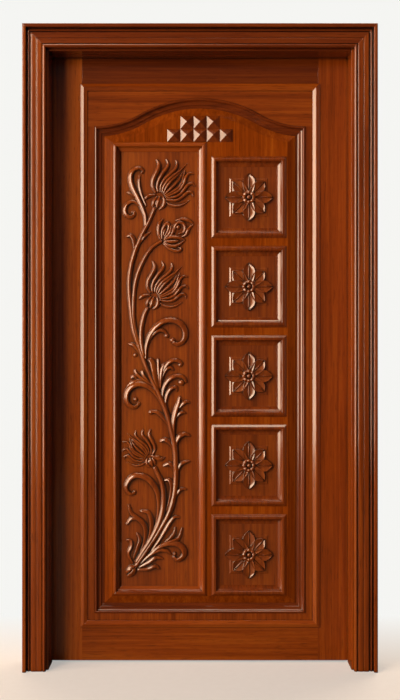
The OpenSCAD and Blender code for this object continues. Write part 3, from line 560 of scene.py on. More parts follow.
LEAVES: tuple[Stroke, ...] = (
    Stroke(12, 0.6, 0.4, (
        (84, 1262), (82, 1296), (70, 1328), (56, 1358), (40, 1390), (31, 1418), (33, 1442), (46, 1459),
        (64, 1463), (76, 1454), (72, 1445))),
    Stroke(8, 0.6, 0.3, ((86, 1330), (72, 1362), (63, 1392), (61, 1420), (66, 1440))),
    Stroke(7, 0.6, 0.4, ((52, 1360), (36, 1371), (19, 1380))),
    Stroke(10, 0.6, 0.5, (
        (80, 1300), (64, 1332), (42, 1346), (22, 1339), (11, 1320), (14, 1302), (28, 1291), (43, 1295),
        (46, 1307), (37, 1310))),
    Stroke(10, 0.6, 0.5, ((48, 1176), (46, 1200), (42, 1216), (31, 1228), (19, 1224))),
    Stroke(9, 0.6, 0.3, ((60, 1196), (72, 1214), (86, 1229), (102, 1239))),
    Stroke(14, 0.5, 0.6, (
        (84, 796), (85, 830), (92, 860), (104, 886), (122, 908), (144, 924), (168, 931), (193, 927),
        (213, 914), (224, 893), (225, 872), (215, 854), (198, 846), (183, 852))),
    Stroke(10, 0.5, 0.6, ((90, 838), (97, 862), (112, 883), (132, 896), (150, 893), (160, 880))),
    Stroke(10, 0.6, 0.5, ((72, 808), (57, 830), (42, 845), (27, 848))),
    Stroke(16, 0.4, 0.7, ((130, 690), (122, 724), (116, 756), (110, 780), (101, 793))),
    Stroke(10, 0.4, 0.5, ((132, 692), (130, 726), (128, 762), (128, 794))),
    Stroke(11, 0.4, 0.4, ((136, 692), (136, 724), (140, 754), (150, 780))),
    Stroke(10, 0.5, 0.6, (
        (138, 712), (144, 746), (158, 773), (176, 788), (196, 789), (211, 780), (206, 770))),
    Stroke(9, 0.5, 0.6, ((138, 706), (146, 740), (158, 760), (173, 766), (183, 757))),
    Stroke(9, 0.5, 0.6, ((122, 690), (96, 710), (72, 725), (53, 742), (47, 756))),
    Stroke(9, 0.5, 0.7, ((104, 706), (86, 724), (75, 740), (73, 752))),
    Stroke(8, 0.5, 0.4, ((56, 722), (44, 735), (32, 727))),
    Stroke(14, 0.5, 0.5, (
        (150, 622), (138, 650), (122, 674), (104, 692), (82, 704), (58, 707), (36, 698), (21, 681),
        (16, 660), (21, 640), (36, 627), (52, 627), (62, 638))),
    Stroke(8, 0.5, 0.4, ((84, 714), (58, 719), (36, 712), (20, 698))),
    Stroke(11, 0.5, 0.6, (
        (143, 650), (145, 682), (154, 706), (171, 726), (194, 736), (217, 731), (228, 715))),
    Stroke(10, 0.5, 0.5, ((153, 620), (155, 652), (163, 678), (178, 694), (192, 695), (196, 683))),
    Stroke(13, 0.5, 0.3, ((185, 512), (181, 546), (182, 580), (190, 614), (200, 642), (205, 664))),
    Stroke(9, 0.5, 0.3, ((189, 586), (200, 601), (214, 609), (228, 604))),
    Stroke(9, 0.5, 0.3, ((201, 620), (212, 635), (227, 645), (242, 642))),
    Stroke(10, 0.5, 0.7, ((170, 560), (156, 580), (141, 597), (124, 609), (106, 611))),
    Stroke(12, 0.5, 0.4, ((189, 480), (193, 506), (203, 523), (221, 532), (241, 526))),
    Stroke(11, 0.5, 0.5, ((188, 468), (180, 490), (166, 506), (150, 513), (138, 506))),
    Stroke(10, 0.5, 0.4, ((194, 392), (201, 416), (214, 431), (240, 437))),
    Stroke(10, 0.5, 0.4, ((190, 396), (182, 417), (168, 429), (147, 420))),
    Stroke(13, 0.5, 0.4, ((160, 262), (171, 296), (178, 330), (177, 356), (167, 372), (151, 370))),
    Stroke(9, 0.5, 0.3, ((186, 308), (196, 326), (209, 339), (230, 339))),
    Stroke(14, 0.5, 0.5, (
        (106, 176), (120, 204), (129, 234), (133, 264), (133, 296), (127, 330), (112, 357), (92, 376),
        (70, 386), (46, 386), (27, 373), (16, 352), (19, 332), (34, 321), (48, 327))),
    Stroke(9, 0.5, 0.4, ((106, 456), (122, 448), (138, 443), (152, 450))),
    Stroke(12, 0.5, 0.5, (
        (68, 116), (80, 146), (86, 178), (84, 206), (72, 226), (52, 241), (34, 258), (27, 282))),
    Stroke(9, 0.5, 0.6, ((76, 222), (54, 236), (34, 236), (18, 216))),
    Stroke(12, 0.5, 0.6, ((84, 130), (98, 164), (106, 198), (106, 230), (94, 258), (72, 262))),
    Stroke(10, 0.5, 0.4, ((44, 96), (58, 134), (66, 162), (55, 186))),
    Stroke(9, 0.5, 0.5, ((40, 78), (24, 112), (34, 140), (32, 158), (18, 160))),
    Stroke(11, 0.5, 0.4, ((106, 124), (132, 162), (152, 196), (168, 222), (186, 241), (204, 240))),
    Stroke(11, 0.5, 0.4, ((104, 118), (140, 140), (176, 154), (202, 168), (214, 202))),
    Stroke(9, 0.5, 0.4, ((150, 150), (172, 166), (186, 184), (190, 206))),
    Stroke(14, 0.5, 0.5, (
        (94, 102), (124, 132), (158, 148), (190, 149), (214, 136), (222, 115), (212, 98), (195, 92),
        (183, 102))),
    Stroke(10, 0.5, 0.4, ((66, 78), (98, 108), (132, 126), (160, 124), (174, 112))),
    Stroke(10, 0.5, 0.4, ((62, 66), (96, 84), (120, 100), (146, 96))),
    Stroke(10, 0.5, 0.4, ((58, 58), (92, 60), (118, 70), (134, 60))),
    Stroke(9, 0.5, 0.4, ((48, 62), (70, 96), (90, 116))),
    Stroke(12, 0.6, 0.5, ((46, 72), (30, 62), (18, 48))),
    Stroke(12, 0.6, 0.5, ((48, 62), (40, 46), (24, 34))),
)

# Place and radius of each berry
BERRIES: tuple[tuple[float, float, float], ...] = (
    (200, 1256, 8), (160, 876, 8), (180, 860, 9), (49, 808, 7), (211, 712, 11), (104, 608, 8),
    (62, 638, 6), (50, 653, 8), (47, 330, 6), (72, 262, 7), (188, 112, 7), (206, 774, 6),
)


class Cut(Enum):
    """Section of a carved stroke of unit width: a round crest, or a gouged leaf with a high rim."""

    CREST = (
        (-0.5, -0.12), (-0.49, 0.28), (-0.44, 0.4), (-0.3, 0.53), (-0.15, 0.62), (0.0, 0.66),
        (0.15, 0.62), (0.3, 0.53), (0.44, 0.4), (0.49, 0.28), (0.5, -0.12),
    )
    GOUGE = (
        (-0.5, -0.12), (-0.49, 0.36), (-0.45, 0.5), (-0.38, 0.6), (-0.28, 0.65), (-0.12, 0.62),
        (0.08, 0.55), (0.26, 0.46), (0.4, 0.36), (0.48, 0.24), (0.5, -0.12),
    )


@dataclass(frozen=True)
class Flower:
    """A lotus flower of the panel: the place of its throat in mm, its size and its turn in degrees."""

    throat: Pair
    size: float
    turn: float
    opens_left: bool = False

    def moved(self, spot: Vector) -> Vector:
        """Carry a point of the flower to its place on the drawing.

        Args:
            spot: Point of the flower, from its throat.

        Returns:
            The point on the drawing, in mm.
        """
        x, z = (-spot.x if self.opens_left else spot.x) * self.size, spot.y * self.size
        cos, sin = math.cos(math.radians(self.turn)), math.sin(math.radians(self.turn))
        return Vector((self.throat[0] + x * cos - z * sin, self.throat[1] + x * sin + z * cos))

    def strokes(self, step: float) -> list[Run]:
        """Strokes of the flower.

        Args:
            step: Distance between the points of a stroke, in mm.

        Returns:
            Points and widths of each stroke, in mm.
        """
        return [
            [(self.moved(spot), width * self.size) for spot, width in stroke.samples(step)]
            for stroke in LOTUS
        ]


@dataclass
class FlowerPanel:
    """The tall board, carved with three lotus flowers, a rose, stems and scrolls on a sunk ground.

    Lengths are in mm. The drawing's sheet is fitted to the ground, and strokes are cut bolder than drawn.
    """

    node: str = "carved_panel"
    board_t: float = 9.0
    border: float = 15.8
    ground: Pair = (267.0, 1520.0)
    sheet: Pair = (268.0, 1520.0)
    step: float = 3.5
    bold: float = 1.45
    flowers: tuple[Flower, ...] = (
        Flower((137, 1372), 1.0, 0.0),
        Flower((117, 1020), 0.96, -3.0),
        Flower((98, 455), 0.76, 3.0, opens_left=True),
    )
    # The calyx of a flower: its place from the throat and its radius
    calyx: tuple[float, float, float] = (-6.0, -29.0, 17.0)
    calyx_flat: float = 0.32
    berry_flat: float = 0.8
    boss_rise: float = 0.3
    boss_sides: int = 20
    crease: float = 40.0

    def build(self, material: bpy.types.Material) -> bpy.types.Object:
        """Carve the panel and set it in the place of its board.

        Args:
            material: Finish of the panel.

        Returns:
            The carved panel.
        """
        low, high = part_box(self.node)
        size, edge = high - low, self.border * MM
        parts = [slab((size.x / 2 - edge, size.z / 2 - edge), size, self.board_t * MM)]
        crests = [run for flower in self.flowers for run in flower.strokes(self.step)]
        crests += [stroke.samples(self.step) for stroke in ROSE + STEMS]
        parts.append(self.carve("crests", Cut.CREST, crests))
        left = [stroke.samples(self.step) for stroke in LEAVES if stroke.turns_left()]
        right = [stroke.samples(self.step)[::-1] for stroke in LEAVES if not stroke.turns_left()]
        parts.append(self.carve("leaves", Cut.GOUGE, left + right))
        for x, z, r in BERRIES:
            parts.append(self.berry(Vector((x, z)), r, self.berry_flat))
        for flower in self.flowers:
            spot = flower.moved(Vector(self.calyx[:2]))
            parts.append(self.berry(spot, self.calyx[2] * flower.size, self.calyx_flat))
        panel = joined(parts, "flower_panel")
        stand_up(panel, Vector((low.x + edge, high.y - self.board_t * MM, low.z + edge)), self.crease)
        dress(panel, material)
        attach(panel, "leaf")
        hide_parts(self.node)
        return panel

    def laid(self, spot: Vector) -> Pair:
        """Place on the ground of a point of the drawing, in metres."""
        wide, tall = self.ground[0] / self.sheet[0], self.ground[1] / self.sheet[1]
        return spot.x * wide * MM, spot.y * tall * MM

    def berry(self, spot: Vector, radius: float, flat: float) -> bpy.types.Object:
        """A rounded boss, half sunk in the ground.

        Args:
            spot: Its place on the drawing, in mm.
            radius: Its radius in mm.
            flat: Its height as a share of its width.

        Returns:
            The boss.
        """
        middle = Vector((*self.laid(spot), self.boss_rise * MM))
        return boss(middle, radius * MM, flat, self.boss_sides)

    def carve(self, name: str, cut: Cut, runs: list[Run]) -> bpy.types.Object:
        """Sweep a section along strokes.

        Args:
            name: Name of the strokes.
            cut: Section of the strokes.
            runs: Points and widths of each stroke, in mm.

        Returns:
            The strokes as one mesh, lying on z = 0.
        """
        section = bpy.data.curves.new(f"{name}_section", "CURVE")
        section.dimensions = "2D"
        outline = section.splines.new("POLY")
        outline.points.add(len(cut.value) - 1)
        for point, (x, y) in zip(outline.points, cut.value):
            point.co = (x, y, 0.0, 1.0)
        outline.use_cyclic_u = True
        cutter = bpy.data.objects.new(f"{name}_section", section)
        bpy.context.scene.collection.objects.link(cutter)
        path = bpy.data.curves.new(name, "CURVE")
        path.dimensions = "2D"
        path.fill_mode = "NONE"
        path.bevel_mode = "OBJECT"
        path.bevel_object = cutter
        path.use_fill_caps = True
        for run in runs:
            line = path.splines.new("POLY")
            line.points.add(len(run) - 1)
            for point, (spot, width) in zip(line.points, run):
                point.co = (*self.laid(spot), 0.0, 1.0)
                point.radius = width * self.bold * MM
        strokes = bpy.data.objects.new(name, path)
        bpy.context.scene.collection.objects.link(strokes)
        pick(strokes)
        bpy.ops.object.convert(target="MESH")
        bpy.data.objects.remove(cutter)
        return tidied(bpy.context.object)


@dataclass
class RosettePanels:
    """Five square boards, each with a stepped tile and an eight-petalled rosette round a bud.

    Lengths are in mm. Shares along a petal run from the middle of the rosette to the petal's tip.
    """

    count: int = 5
    board_t: float = 9.0
    tile_w: float = 136.0
    tile_h: float = 4.0
    rim: float = 10.0
    edge: float = 5.0
    first_inset: float = 0.5
    petal_n: int = 8
    petal_r: float = 84.0
    corner_share: float = 0.92
    petal_w: float = 42.0
    petal_h: float = 8.0
    petal_mesh: tuple[int, int] = (16, 18)
    root: float = 0.2
    waist: float = 0.63
    # Outline of a petal: its width at the root as a share, and the power of its rounding to the tip
    root_w: float = 0.3
    tip_power: float = 1.1
    # Heights of a petal as shares: at root and tip, in the hollow halves, and on the rib and down its sides
    end_h: float = 0.55
    hollow_h: float = 0.35
    hollow_power: float = 1.4
    rib_h: float = 0.9
    rib_w: float = 0.12
    rib_slope: float = 2.5
    bud_r: float = 23.0
    ring_r: float = 6.5
    ring_rise: float = 3.5
    ring_wave: float = 0.14
    ring_mesh: tuple[int, int] = (64, 16)
    pearl_r: float = 7.5
    pearl_sink: float = 2.0
    pearl_sides: int = 24
    crease: float = 18.0

    def build(self, material: bpy.types.Material) -> list[bpy.types.Object]:
        """Carve one panel and copy it into every square.

        Args:
            material: Finish of the panels.

        Returns:
            The panels, from the lowest up.
        """
        low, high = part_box("rosette_panel_1")
        pattern = joined([self.board(high - low)] + self.petals() + self.bud(), "rosette")
        panels = []
        for number in range(1, self.count + 1):
            node = f"rosette_panel_{number}"
            low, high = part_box(node)
            panel = bpy.data.objects.new(f"rosette_carving_{number}", pattern.data.copy())
            bpy.context.scene.collection.objects.link(panel)
            middle = (low + high) / 2
            stand_up(panel, Vector((middle.x, high.y - self.board_t * MM, middle.z)), self.crease)
            dress(panel, material)
            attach(panel, "leaf")
            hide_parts(node)
            panels.append(panel)
        bpy.data.objects.remove(pattern)
        return panels

    def board(self, size: Vector) -> bpy.types.Object:
        """Board with the raised tile, its ground at z = 0.

        Args:
            size: Size of the node's box in metres.

        Returns:
            The board.
        """
        board = slab((0.0, 0.0), size, self.board_t * MM)
        for width in (self.tile_w, self.tile_w - 2 * self.rim):
            self.step_face(board, width * MM, self.tile_h / 2 * MM)
        return board

    def step_face(self, board: bpy.types.Object, width: float, rise: float) -> None:
        """Raise a square with sloping edges from the topmost face.

        Args:
            board: Board that is shaped.
            width: Width of the square at its foot in metres.
            rise: How far the square rises in metres.
        """
        pick(board)
        bpy.ops.object.mode_set(mode="EDIT")
        bpy.ops.mesh.select_all(action="DESELECT")
        bpy.ops.object.mode_set(mode="OBJECT")
        faces = board.data.polygons
        top = max(faces, key=lambda face: (round(face.center.z, 6), -face.center.xy.length, face.normal.z))
        top.select = True
        bpy.ops.object.mode_set(mode="EDIT")
        bpy.ops.mesh.inset(thickness=self.first_inset * MM)
        bpy.ops.object.mode_set(mode="OBJECT")
        self.square(board, width / 2)
        bpy.ops.object.mode_set(mode="EDIT")
        bpy.ops.mesh.extrude_region_move(TRANSFORM_OT_translate={"value": (0, 0, rise)})
        bpy.ops.object.mode_set(mode="OBJECT")
        self.square(board, width / 2 - self.edge * MM)

    @staticmethod
    def square(board: bpy.types.Object, half: float) -> None:
        """Bring the corners of the selected face to a square.

        Args:
            board: Board that is shaped.
            half: Half the width of the square in metres.
        """
        inner = next(face for face in board.data.polygons if face.select)
        for index in inner.vertices:
            corner = board.data.vertices[index].co
            corner.x, corner.y = math.copysign(half, corner.x), math.copysign(half, corner.y)

    def half_width(self, share: float) -> float:
        """Half the width of a petal.

        Args:
            share: Place along the petal, as a share of its length.

        Returns:
            The half width there, in mm.
        """
        if share < self.waist:
            swell = math.sin(math.pi / 2 * share / self.waist)
            return self.petal_w / 2 * (self.root_w + (1 - self.root_w) * swell)
        past = (share - self.waist) / (1 - self.waist)
        return self.petal_w / 2 * math.cos(math.pi / 2 * past ** self.tip_power)

    def height(self, across: float, share: float) -> float:
        """Height of a petal: hollow halves that rise to the edges, with a thin rib.

        Args:
            across: Place across the petal, from -1 to 1.
            share: Place along the petal, as a share of its length.

        Returns:
            The height there, as a share of the full height.
        """
        along = self.end_h + (1 - self.end_h) * math.sin(math.pi * min(1.0, share / self.waist) / 2)
        if share > self.waist:
            along -= (1 - self.end_h) * ((share - self.waist) / (1 - self.waist)) ** 2
        side = abs(across)
        if side > self.rib_w:
            return along * (self.hollow_h + (1 - self.hollow_h) * side ** self.hollow_power)
        return along * (self.rib_h - self.rib_slope * side)

    def petals(self) -> list[bpy.types.Object]:
        """The petals round the middle, of which those to the corners are shorter.

        Returns:
            The petals.
        """
        return [
            self.petal(self.petal_r * (1.0 if k % 2 == 0 else self.corner_share), math.tau * k / self.petal_n)
            for k in range(self.petal_n)
        ]

    def petal(self, length: float, turn: float) -> bpy.types.Object:
        """One petal, standing on the ground.

        Args:
            length: Its reach from the middle in mm.
            turn: Its direction from +Y, in radians.

        Returns:
            The petal.
        """
        bpy.ops.object.select_all(action="DESELECT")
        columns, rows = self.petal_mesh
        bpy.ops.mesh.primitive_grid_add(x_subdivisions=columns, y_subdivisions=rows, size=2)
        petal = bpy.context.object
        for vertex in petal.data.vertices:
            across, share = vertex.co.x, self.root + (1 - self.root) * (vertex.co.y + 1) / 2
            vertex.co = (
                across * self.half_width(share) * MM, share * length * MM,
                (self.tile_h + self.petal_h * self.height(across, share)) * MM,
            )
        pick(petal)
        bpy.ops.object.mode_set(mode="EDIT")
        bpy.ops.mesh.select_all(action="SELECT")
        bpy.ops.mesh.extrude_region_move(TRANSFORM_OT_translate={"value": (0, 0, 0)})
        bpy.ops.transform.resize(value=(1, 1, 0), center_override=(0, 0, 0))
        bpy.ops.object.mode_set(mode="OBJECT")
        petal.rotation_euler = (0, 0, turn)
        bpy.ops.object.transform_apply(location=True, rotation=True, scale=True)
        return tidied(petal)

    def bud(self) -> list[bpy.types.Object]:
        """The bud: a lobed ring round a pearl.

        Returns:
            The ring and the pearl.
        """
        bpy.ops.object.select_all(action="DESELECT")
        around, section = self.ring_mesh
        reach = (self.bud_r - self.ring_r) * MM
        bpy.ops.mesh.primitive_torus_add(
            major_segments=around, minor_segments=section, major_radius=reach, minor_radius=self.ring_r * MM,
        )
        ring = bpy.context.object
        for vertex in ring.data.vertices:
            turn = math.atan2(vertex.co.y, vertex.co.x)
            middle = Vector((math.cos(turn), math.sin(turn), 0)) * reach
            swell = 1 + self.ring_wave * math.cos(self.petal_n * turn)
            vertex.co = middle + (vertex.co - middle) * swell
            vertex.co.z += (self.tile_h + self.ring_rise) * MM
        top = Vector((0.0, 0.0, (self.tile_h + self.petal_h - self.pearl_sink) * MM))
        return [ring, boss(top, self.pearl_r * MM, 1.0, self.pearl_sides)]


@dataclass
class DressedNodes:
    """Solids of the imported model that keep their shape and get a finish."""

    title: str
    finish: LacqueredWood | SatinBrass
    nodes: tuple[str, ...]

    def build(self) -> None:
        """Make the finish and put it on every node."""
        material = self.finish.build()
        for node in self.nodes:
            dress(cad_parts[node], material)


@dataclass(frozen=True)
class Lamp:
    """A soft panel lamp that is turned to the door.

    Its level is what it adds on a face that looks to the front, or to the back where the lamp stands
    behind the door, and 1 shows a colour as written. A veiled lamp gives light that isn't mirrored.
    """

    name: str
    azimuth: float
    elevation: float
    distance: float
    size: Pair
    level: float
    veiled: bool = False
    colour: str = "#FFE6C6"

    def build(self, target: Vector) -> None:
        """Hang the lamp and turn it to the target.

        Args:
            target: Point that the lamp faces.
        """
        side, rise = math.radians(self.azimuth), math.radians(self.elevation)
        facing = math.cos(side) * math.cos(rise)
        way = Vector((math.sin(side) * math.cos(rise), -facing, math.sin(rise)))
        light = bpy.data.lights.new(self.name, "AREA")
        light.shape = "RECTANGLE"
        light.size, light.size_y = self.size
        light.color = hex_to_linear(self.colour)[:3]
        light.energy = self.level * math.pi ** 2 * self.distance ** 2 / abs(facing)
        lamp = bpy.data.objects.new(self.name, light)
        lamp.location = target + way * self.distance
        lamp.rotation_euler = way.to_track_quat("Z", "Y").to_euler()
        lamp.visible_camera = False
        lamp.visible_glossy = not self.veiled
        bpy.context.scene.collection.objects.link(lamp)


@dataclass
class Studio:
    """Camera straight on to the door, a pale floor, soft lamps and a pale backdrop. Lengths are in metres."""

    eye: tuple[float, float, float] = (0.0, -3.271, 1.089)
    lens: float = 48.57
    sensor: float = 36.0
    backdrop: str = "#F5F5F2"
    # Light that the backdrop gives, and how much of it the door mirrors from where it stands behind
    room: float = 0.04
    mirrored: float = 0.3
    mirrored_range: Pair = (-0.1, 0.3)
    floor_w: float = 18.0
    floor_drop: float = 0.001
    floor_colour: str = "#F6EDEA"
    speck_colour: str = "#EFE4E0"
    speck: float = 0.025
    floor_roughness: float = 0.7
    floor_sheen: float = 0.2
    # Colour with which the floor lights the door
    floor_cast: str = "#4A4440"
    # The floor passes into the backdrop between these distances, from this share of it at the door
    fade_behind: Pair = (0.0, 0.6)
    fade_away: Pair = (1.0, 2.6)
    fade_least: float = 0.37
    target: tuple[float, float, float] = (0.0, 0.0, 1.1)
    lamps: tuple[Lamp, ...] = (
        Lamp("key", -40.0, 11.0, 5.5, (2.2, 4.2), 0.68),
        Lamp("strip", -70.0, 8.0, 5.5, (1.9, 3.7), 0.21),
        Lamp("top", -6.0, 46.0, 8.0, (8.0, 5.0), 0.08, True),
        Lamp("crest", -12.0, 75.0, 3.4, (2.0, 0.5), 0.045),
        Lamp("back_right", 140.0, 50.0, 6.5, (3.6, 3.6), 0.3),
        Lamp("back_left", -150.0, 50.0, 6.5, (3.6, 3.6), 0.2),
    )

    def build(self) -> None:
        """Set up view, lamps, backdrop, floor and camera."""
        scene = bpy.context.scene
        scene.view_settings.view_transform = "Standard"
        data = bpy.data.cameras.new("front")
        data.lens, data.sensor_width = self.lens, self.sensor
        camera = bpy.data.objects.new("front", data)
        camera.location = self.eye
        camera.rotation_euler = (math.pi / 2, 0.0, 0.0)
        scene.collection.objects.link(camera)
        scene.camera = camera
        for lamp in self.lamps:
            lamp.build(Vector(self.target))
        self.build_backdrop(scene)
        self.build_floor()

    def build_backdrop(self, scene: bpy.types.Scene) -> None:
        """Pale backdrop that gives little light, of which the door mirrors the part behind it.

        Args:
            scene: Scene that gets the world.
        """
        world = bpy.data.worlds.new("backdrop")
        world.use_nodes = True
        scene.world = world
        tree = world.node_tree
        path = add_node(tree, "ShaderNodeLightPath").outputs
        spot = add_node(tree, "ShaderNodeTexCoord").outputs["Generated"]
        depth = add_node(tree, "ShaderNodeSeparateXYZ", {0: spot}).outputs[1]
        begin, full = self.mirrored_range
        behind = add_node(
            tree, "ShaderNodeMapRange", {0: depth, 1: begin, 2: full, 4: self.mirrored}
        ).outputs[0]
        mirror = add_node(
            tree, "ShaderNodeMath",
            {0: path["Is Glossy Ray"], 1: path["Is Transmission Ray"]}, operation="MAXIMUM",
        ).outputs[0]
        mirrored = add_node(tree, "ShaderNodeMath", {0: mirror, 1: behind}, operation="MULTIPLY").outputs[0]
        seen = add_node(
            tree, "ShaderNodeMath", {0: path["Is Camera Ray"], 1: mirrored}, operation="MAXIMUM"
        ).outputs[0]
        level = add_node(tree, "ShaderNodeMapRange", {0: seen, 3: self.room, 4: 1.0}).outputs[0]
        ground = tree.nodes["Background"]
        ground.inputs["Color"].default_value = hex_to_linear(self.backdrop)
        tree.links.new(level, ground.inputs["Strength"])

    def build_floor(self) -> None:
        """Lay the pale floor below the door."""
        bpy.ops.object.select_all(action="DESELECT")
        bpy.ops.mesh.primitive_plane_add(size=self.floor_w, location=(0.0, 0.0, -self.floor_drop))
        floor = bpy.context.object
        floor.name = "floor"
        bpy.ops.object.transform_apply(location=True, rotation=True, scale=True)
        dress(floor, self.floor_finish())

    def floor_finish(self) -> bpy.types.Material:
        """Pale matt screed, which passes into the backdrop behind the door and away from it.

        Returns:
            The material, ready for a slot.
        """
        material = bpy.data.materials.new("pale_floor")
        material.use_nodes = True
        tree = material.node_tree
        shader = tree.nodes["Principled BSDF"]
        spot = add_node(tree, "ShaderNodeTexCoord").outputs["Object"]
        speck = add_node(
            tree, "ShaderNodeTexNoise", {"Vector": spot, "Scale": 1 / self.speck, "Detail": 3.0}
        ).outputs[0]
        colour = add_node(
            tree, "ShaderNodeMix",
            {0: speck, 6: hex_to_linear(self.speck_colour), 7: hex_to_linear(self.floor_colour)},
            data_type="RGBA",
        ).outputs[2]
        seen = add_node(tree, "ShaderNodeLightPath").outputs["Is Camera Ray"]
        cast = add_node(
            tree, "ShaderNodeMix", {0: seen, 6: hex_to_linear(self.floor_cast), 7: colour}, data_type="RGBA"
        ).outputs[2]
        tree.links.new(cast, shader.inputs["Base Color"])
        shader.inputs["Roughness"].default_value = self.floor_roughness
        shader.inputs["Specular IOR Level"].default_value = self.floor_sheen
        glow = add_node(
            tree, "ShaderNodeEmission", {"Color": hex_to_linear(self.backdrop), "Strength": 1.0}
        ).outputs[0]
        depth = add_node(tree, "ShaderNodeSeparateXYZ", {0: spot}).outputs[1]
        reach = add_node(tree, "ShaderNodeVectorMath", {0: spot}, operation="LENGTH").outputs["Value"]
        behind, away = (
            add_node(tree, "ShaderNodeMapRange", {0: distance, 1: begin, 2: full}).outputs[0]
            for distance, (begin, full) in ((depth, self.fade_behind), (reach, self.fade_away))
        )
        far = add_node(tree, "ShaderNodeMath", {0: behind, 1: away}, operation="MAXIMUM").outputs[0]
        pale = add_node(tree, "ShaderNodeMapRange", {0: far, 3: self.fade_least, 4: 1.0}).outputs[0]
        share = add_node(tree, "ShaderNodeMath", {0: pale, 1: seen}, operation="MULTIPLY").outputs[0]
        mixed = add_node(tree, "ShaderNodeMixShader", {0: share, 1: shader.outputs[0], 2: glow}).outputs[0]
        tree.links.new(mixed, tree.nodes["Material Output"].inputs["Surface"])
        return material


def numbered(stem: str, count: int) -> tuple[str, ...]:
    """Names of numbered nodes, from 1."""
    return tuple(f"{stem}_{k}" for k in range(1, count + 1))


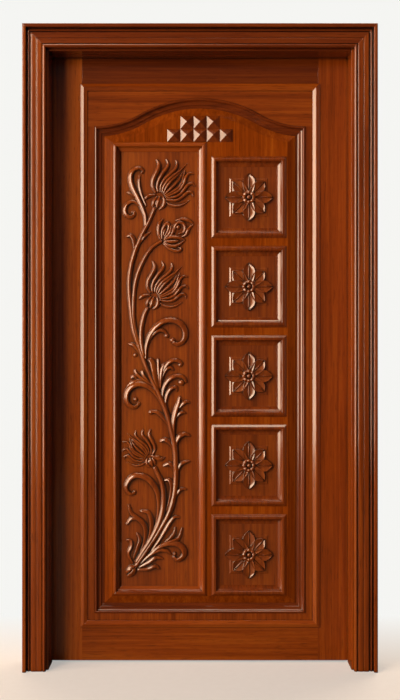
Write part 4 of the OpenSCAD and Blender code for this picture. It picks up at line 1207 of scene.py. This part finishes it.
def sub_assemblies() -> list[DressedNodes]:
    """Solids that keep their shape, sorted by sub-assembly and by the way their fibres run.

    Returns:
        The groups of solids, each with its finish.
    """
    moulding = {"dark": "#742F05", "middle": "#8E3F0B", "light": "#A15014", "shift": 3.7}
    # Painted shade: the arch moulding is stained darker to stand in for shade in its coves
    arch = {"dark": "#562004", "middle": "#6B2B06", "light": "#7D360A", "shift": 4.4, "edge_round": 1.0}
    return [
        DressedNodes(
            "jambs",
            LacqueredWood(
                "lacquered_wood_jamb", Grain.UPRIGHT, "#793205", "#94410A", "#A9540F",
                shift=1.3, hollow=10.0, shut=(0.25, 0.7),
            ),
            ("jamb_left", "jamb_right"),
        ),
        DressedNodes(
            "casings", LacqueredWood("lacquered_wood_casing", Grain.UPRIGHT, shift=1.3, edge_round=5.0),
            ("casing_left", "casing_right"),
        ),
        # Painted shade: the head and its casing are stained darker to stand in for shade at the top of the
        # door
        DressedNodes(
            "frame, level",
            LacqueredWood("lacquered_wood_head_painted_shade", Grain.LEVEL, "#5A2204", "#6C2C07", "#7C370C", shift=2.1),
            ("head_jamb", "casing_head"),
        ),
        # Painted light: the hinge stile is stained lighter to lift the shade that the casing casts on it
        DressedNodes(
            "hinge stile",
            LacqueredWood(
                "lacquered_wood_hinge_stile_painted_light", Grain.UPRIGHT, "#7A3306", "#93430C", "#A65516", shift=8.8,
            ),
            ("hinge_stile",),
        ),
        DressedNodes(
            "lock stile", LacqueredWood("lacquered_wood_stile", Grain.UPRIGHT), ("lock_stile",),
        ),
        DressedNodes(
            "raised field", LacqueredWood("lacquered_wood_field", Grain.UPRIGHT, coat=0.12),
            ("raised_field",),
        ),
        # Painted shade: the top rail is stained darker to stand in for the shade under the head
        DressedNodes(
            "top rail",
            LacqueredWood("lacquered_wood_top_rail_painted_shade", Grain.LEVEL, "#521E03", "#662906", "#763408", shift=0.7),
            ("top_rail",),
        ),
        DressedNodes(
            "bottom rail", LacqueredWood("lacquered_wood_rail", Grain.LEVEL, shift=0.4), ("bottom_rail",),
        ),
        DressedNodes(
            "surround", LacqueredWood("lacquered_wood_surround", Grain.UPRIGHT, shift=5.2, level_above=1.87),
            ("arched_surround",),
        ),
        DressedNodes(
            "tall frame, right",
            LacqueredWood("lacquered_wood_moulding", Grain.UPRIGHT, edge_round=0.6, **moulding),
            ("tall_frame_right",),
        ),
        # Painted shade: the square frames are stained darker to stand in for shade along their strips
        DressedNodes(
            "square frames",
            LacqueredWood(
                "lacquered_wood_square_frame_painted_shade", Grain.UPRIGHT, "#622704", "#7A3407", "#8C430E",
                shift=3.7, edge_round=0.6,
            ),
            numbered("square_frame", 5),
        ),
        # Painted shade: the studs are stained darker to stand in for shade on the faces turned from the lamps
        DressedNodes(
            "studs",
            LacqueredWood(
                "lacquered_stud_painted_shade", Grain.UPRIGHT, "#5C2404", "#712E06", "#82390A",
                shift=3.7, edge_round=0.6,
            ),
            numbered("stud", 8),
        ),
        DressedNodes(
            "ridges, upright",
            LacqueredWood("lacquered_wood_ridge", Grain.UPRIGHT, edge_round=2.0, **moulding),
            ("ridge_left", "ridge_right"),
        ),
        DressedNodes(
            "tall frame, left",
            LacqueredWood("lacquered_wood_rounded_moulding", Grain.UPRIGHT, edge_round=10.0, **moulding),
            ("tall_frame_left",),
        ),
        DressedNodes(
            "mouldings, level",
            LacqueredWood("lacquered_wood_cross_moulding", Grain.LEVEL, edge_round=2.0, **moulding),
            ("ridge_top", "ridge_bottom", "tall_frame_top", "tall_frame_bottom"),
        ),
        DressedNodes(
            "arch moulding, upright", LacqueredWood("lacquered_arch_moulding_painted_shade", Grain.UPRIGHT, **arch),
            ("arch_moulding_left", "arch_moulding_right"),
        ),
        DressedNodes(
            "arch moulding, level", LacqueredWood("lacquered_arch_cross_moulding_painted_shade", Grain.LEVEL, **arch),
            ("arch_moulding_bottom", "arch_moulding_haunch_left", "arch_moulding_haunch_right",
             "arch_moulding_crown"),
        ),
        DressedNodes(
            "hinges", SatinBrass(),
            numbered("hinge_frame_plate", 3) + numbered("hinge_door_plate", 3) + numbered("hinge_pin", 3)
            + ("hinge_frame_screws", "hinge_door_screws"),
        ),
    ]


def main() -> None:
    """Dress the solids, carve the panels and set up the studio."""
    logging.basicConfig(level=logging.INFO, format="%(message)s")
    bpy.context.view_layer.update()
    for group in sub_assemblies():
        group.build()
        for node in group.nodes:
            LOG.info("%s: %s in %s", group.title, node, group.finish.name)
    # Painted shade reaches further on the carving and darkens the ground between the strokes
    carved = LacqueredWood(
        "lacquered_carving_wood", Grain.UPRIGHT, shift=7.9, hollow=22.0, shut=(0.52, 0.95), sheen=0.35,
    )
    panel = FlowerPanel().build(carved.build())
    LOG.info("%s: %d faces", panel.name, len(panel.data.polygons))
    # Painted shade darkens the hollows between the rosettes' petals and round the bud
    rosette = LacqueredWood(
        "lacquered_rosette_wood", Grain.UPRIGHT, "#632803", "#7B3508", "#8D440E",
        shift=6.3, hollow=10.0, shut=(0.4, 0.84), sheen=0.35,
    )
    for panel in RosettePanels().build(rosette.build()):
        LOG.info("%s: %d faces", panel.name, len(panel.data.polygons))
    Studio().build()


if __name__ == "__main__":
    main()
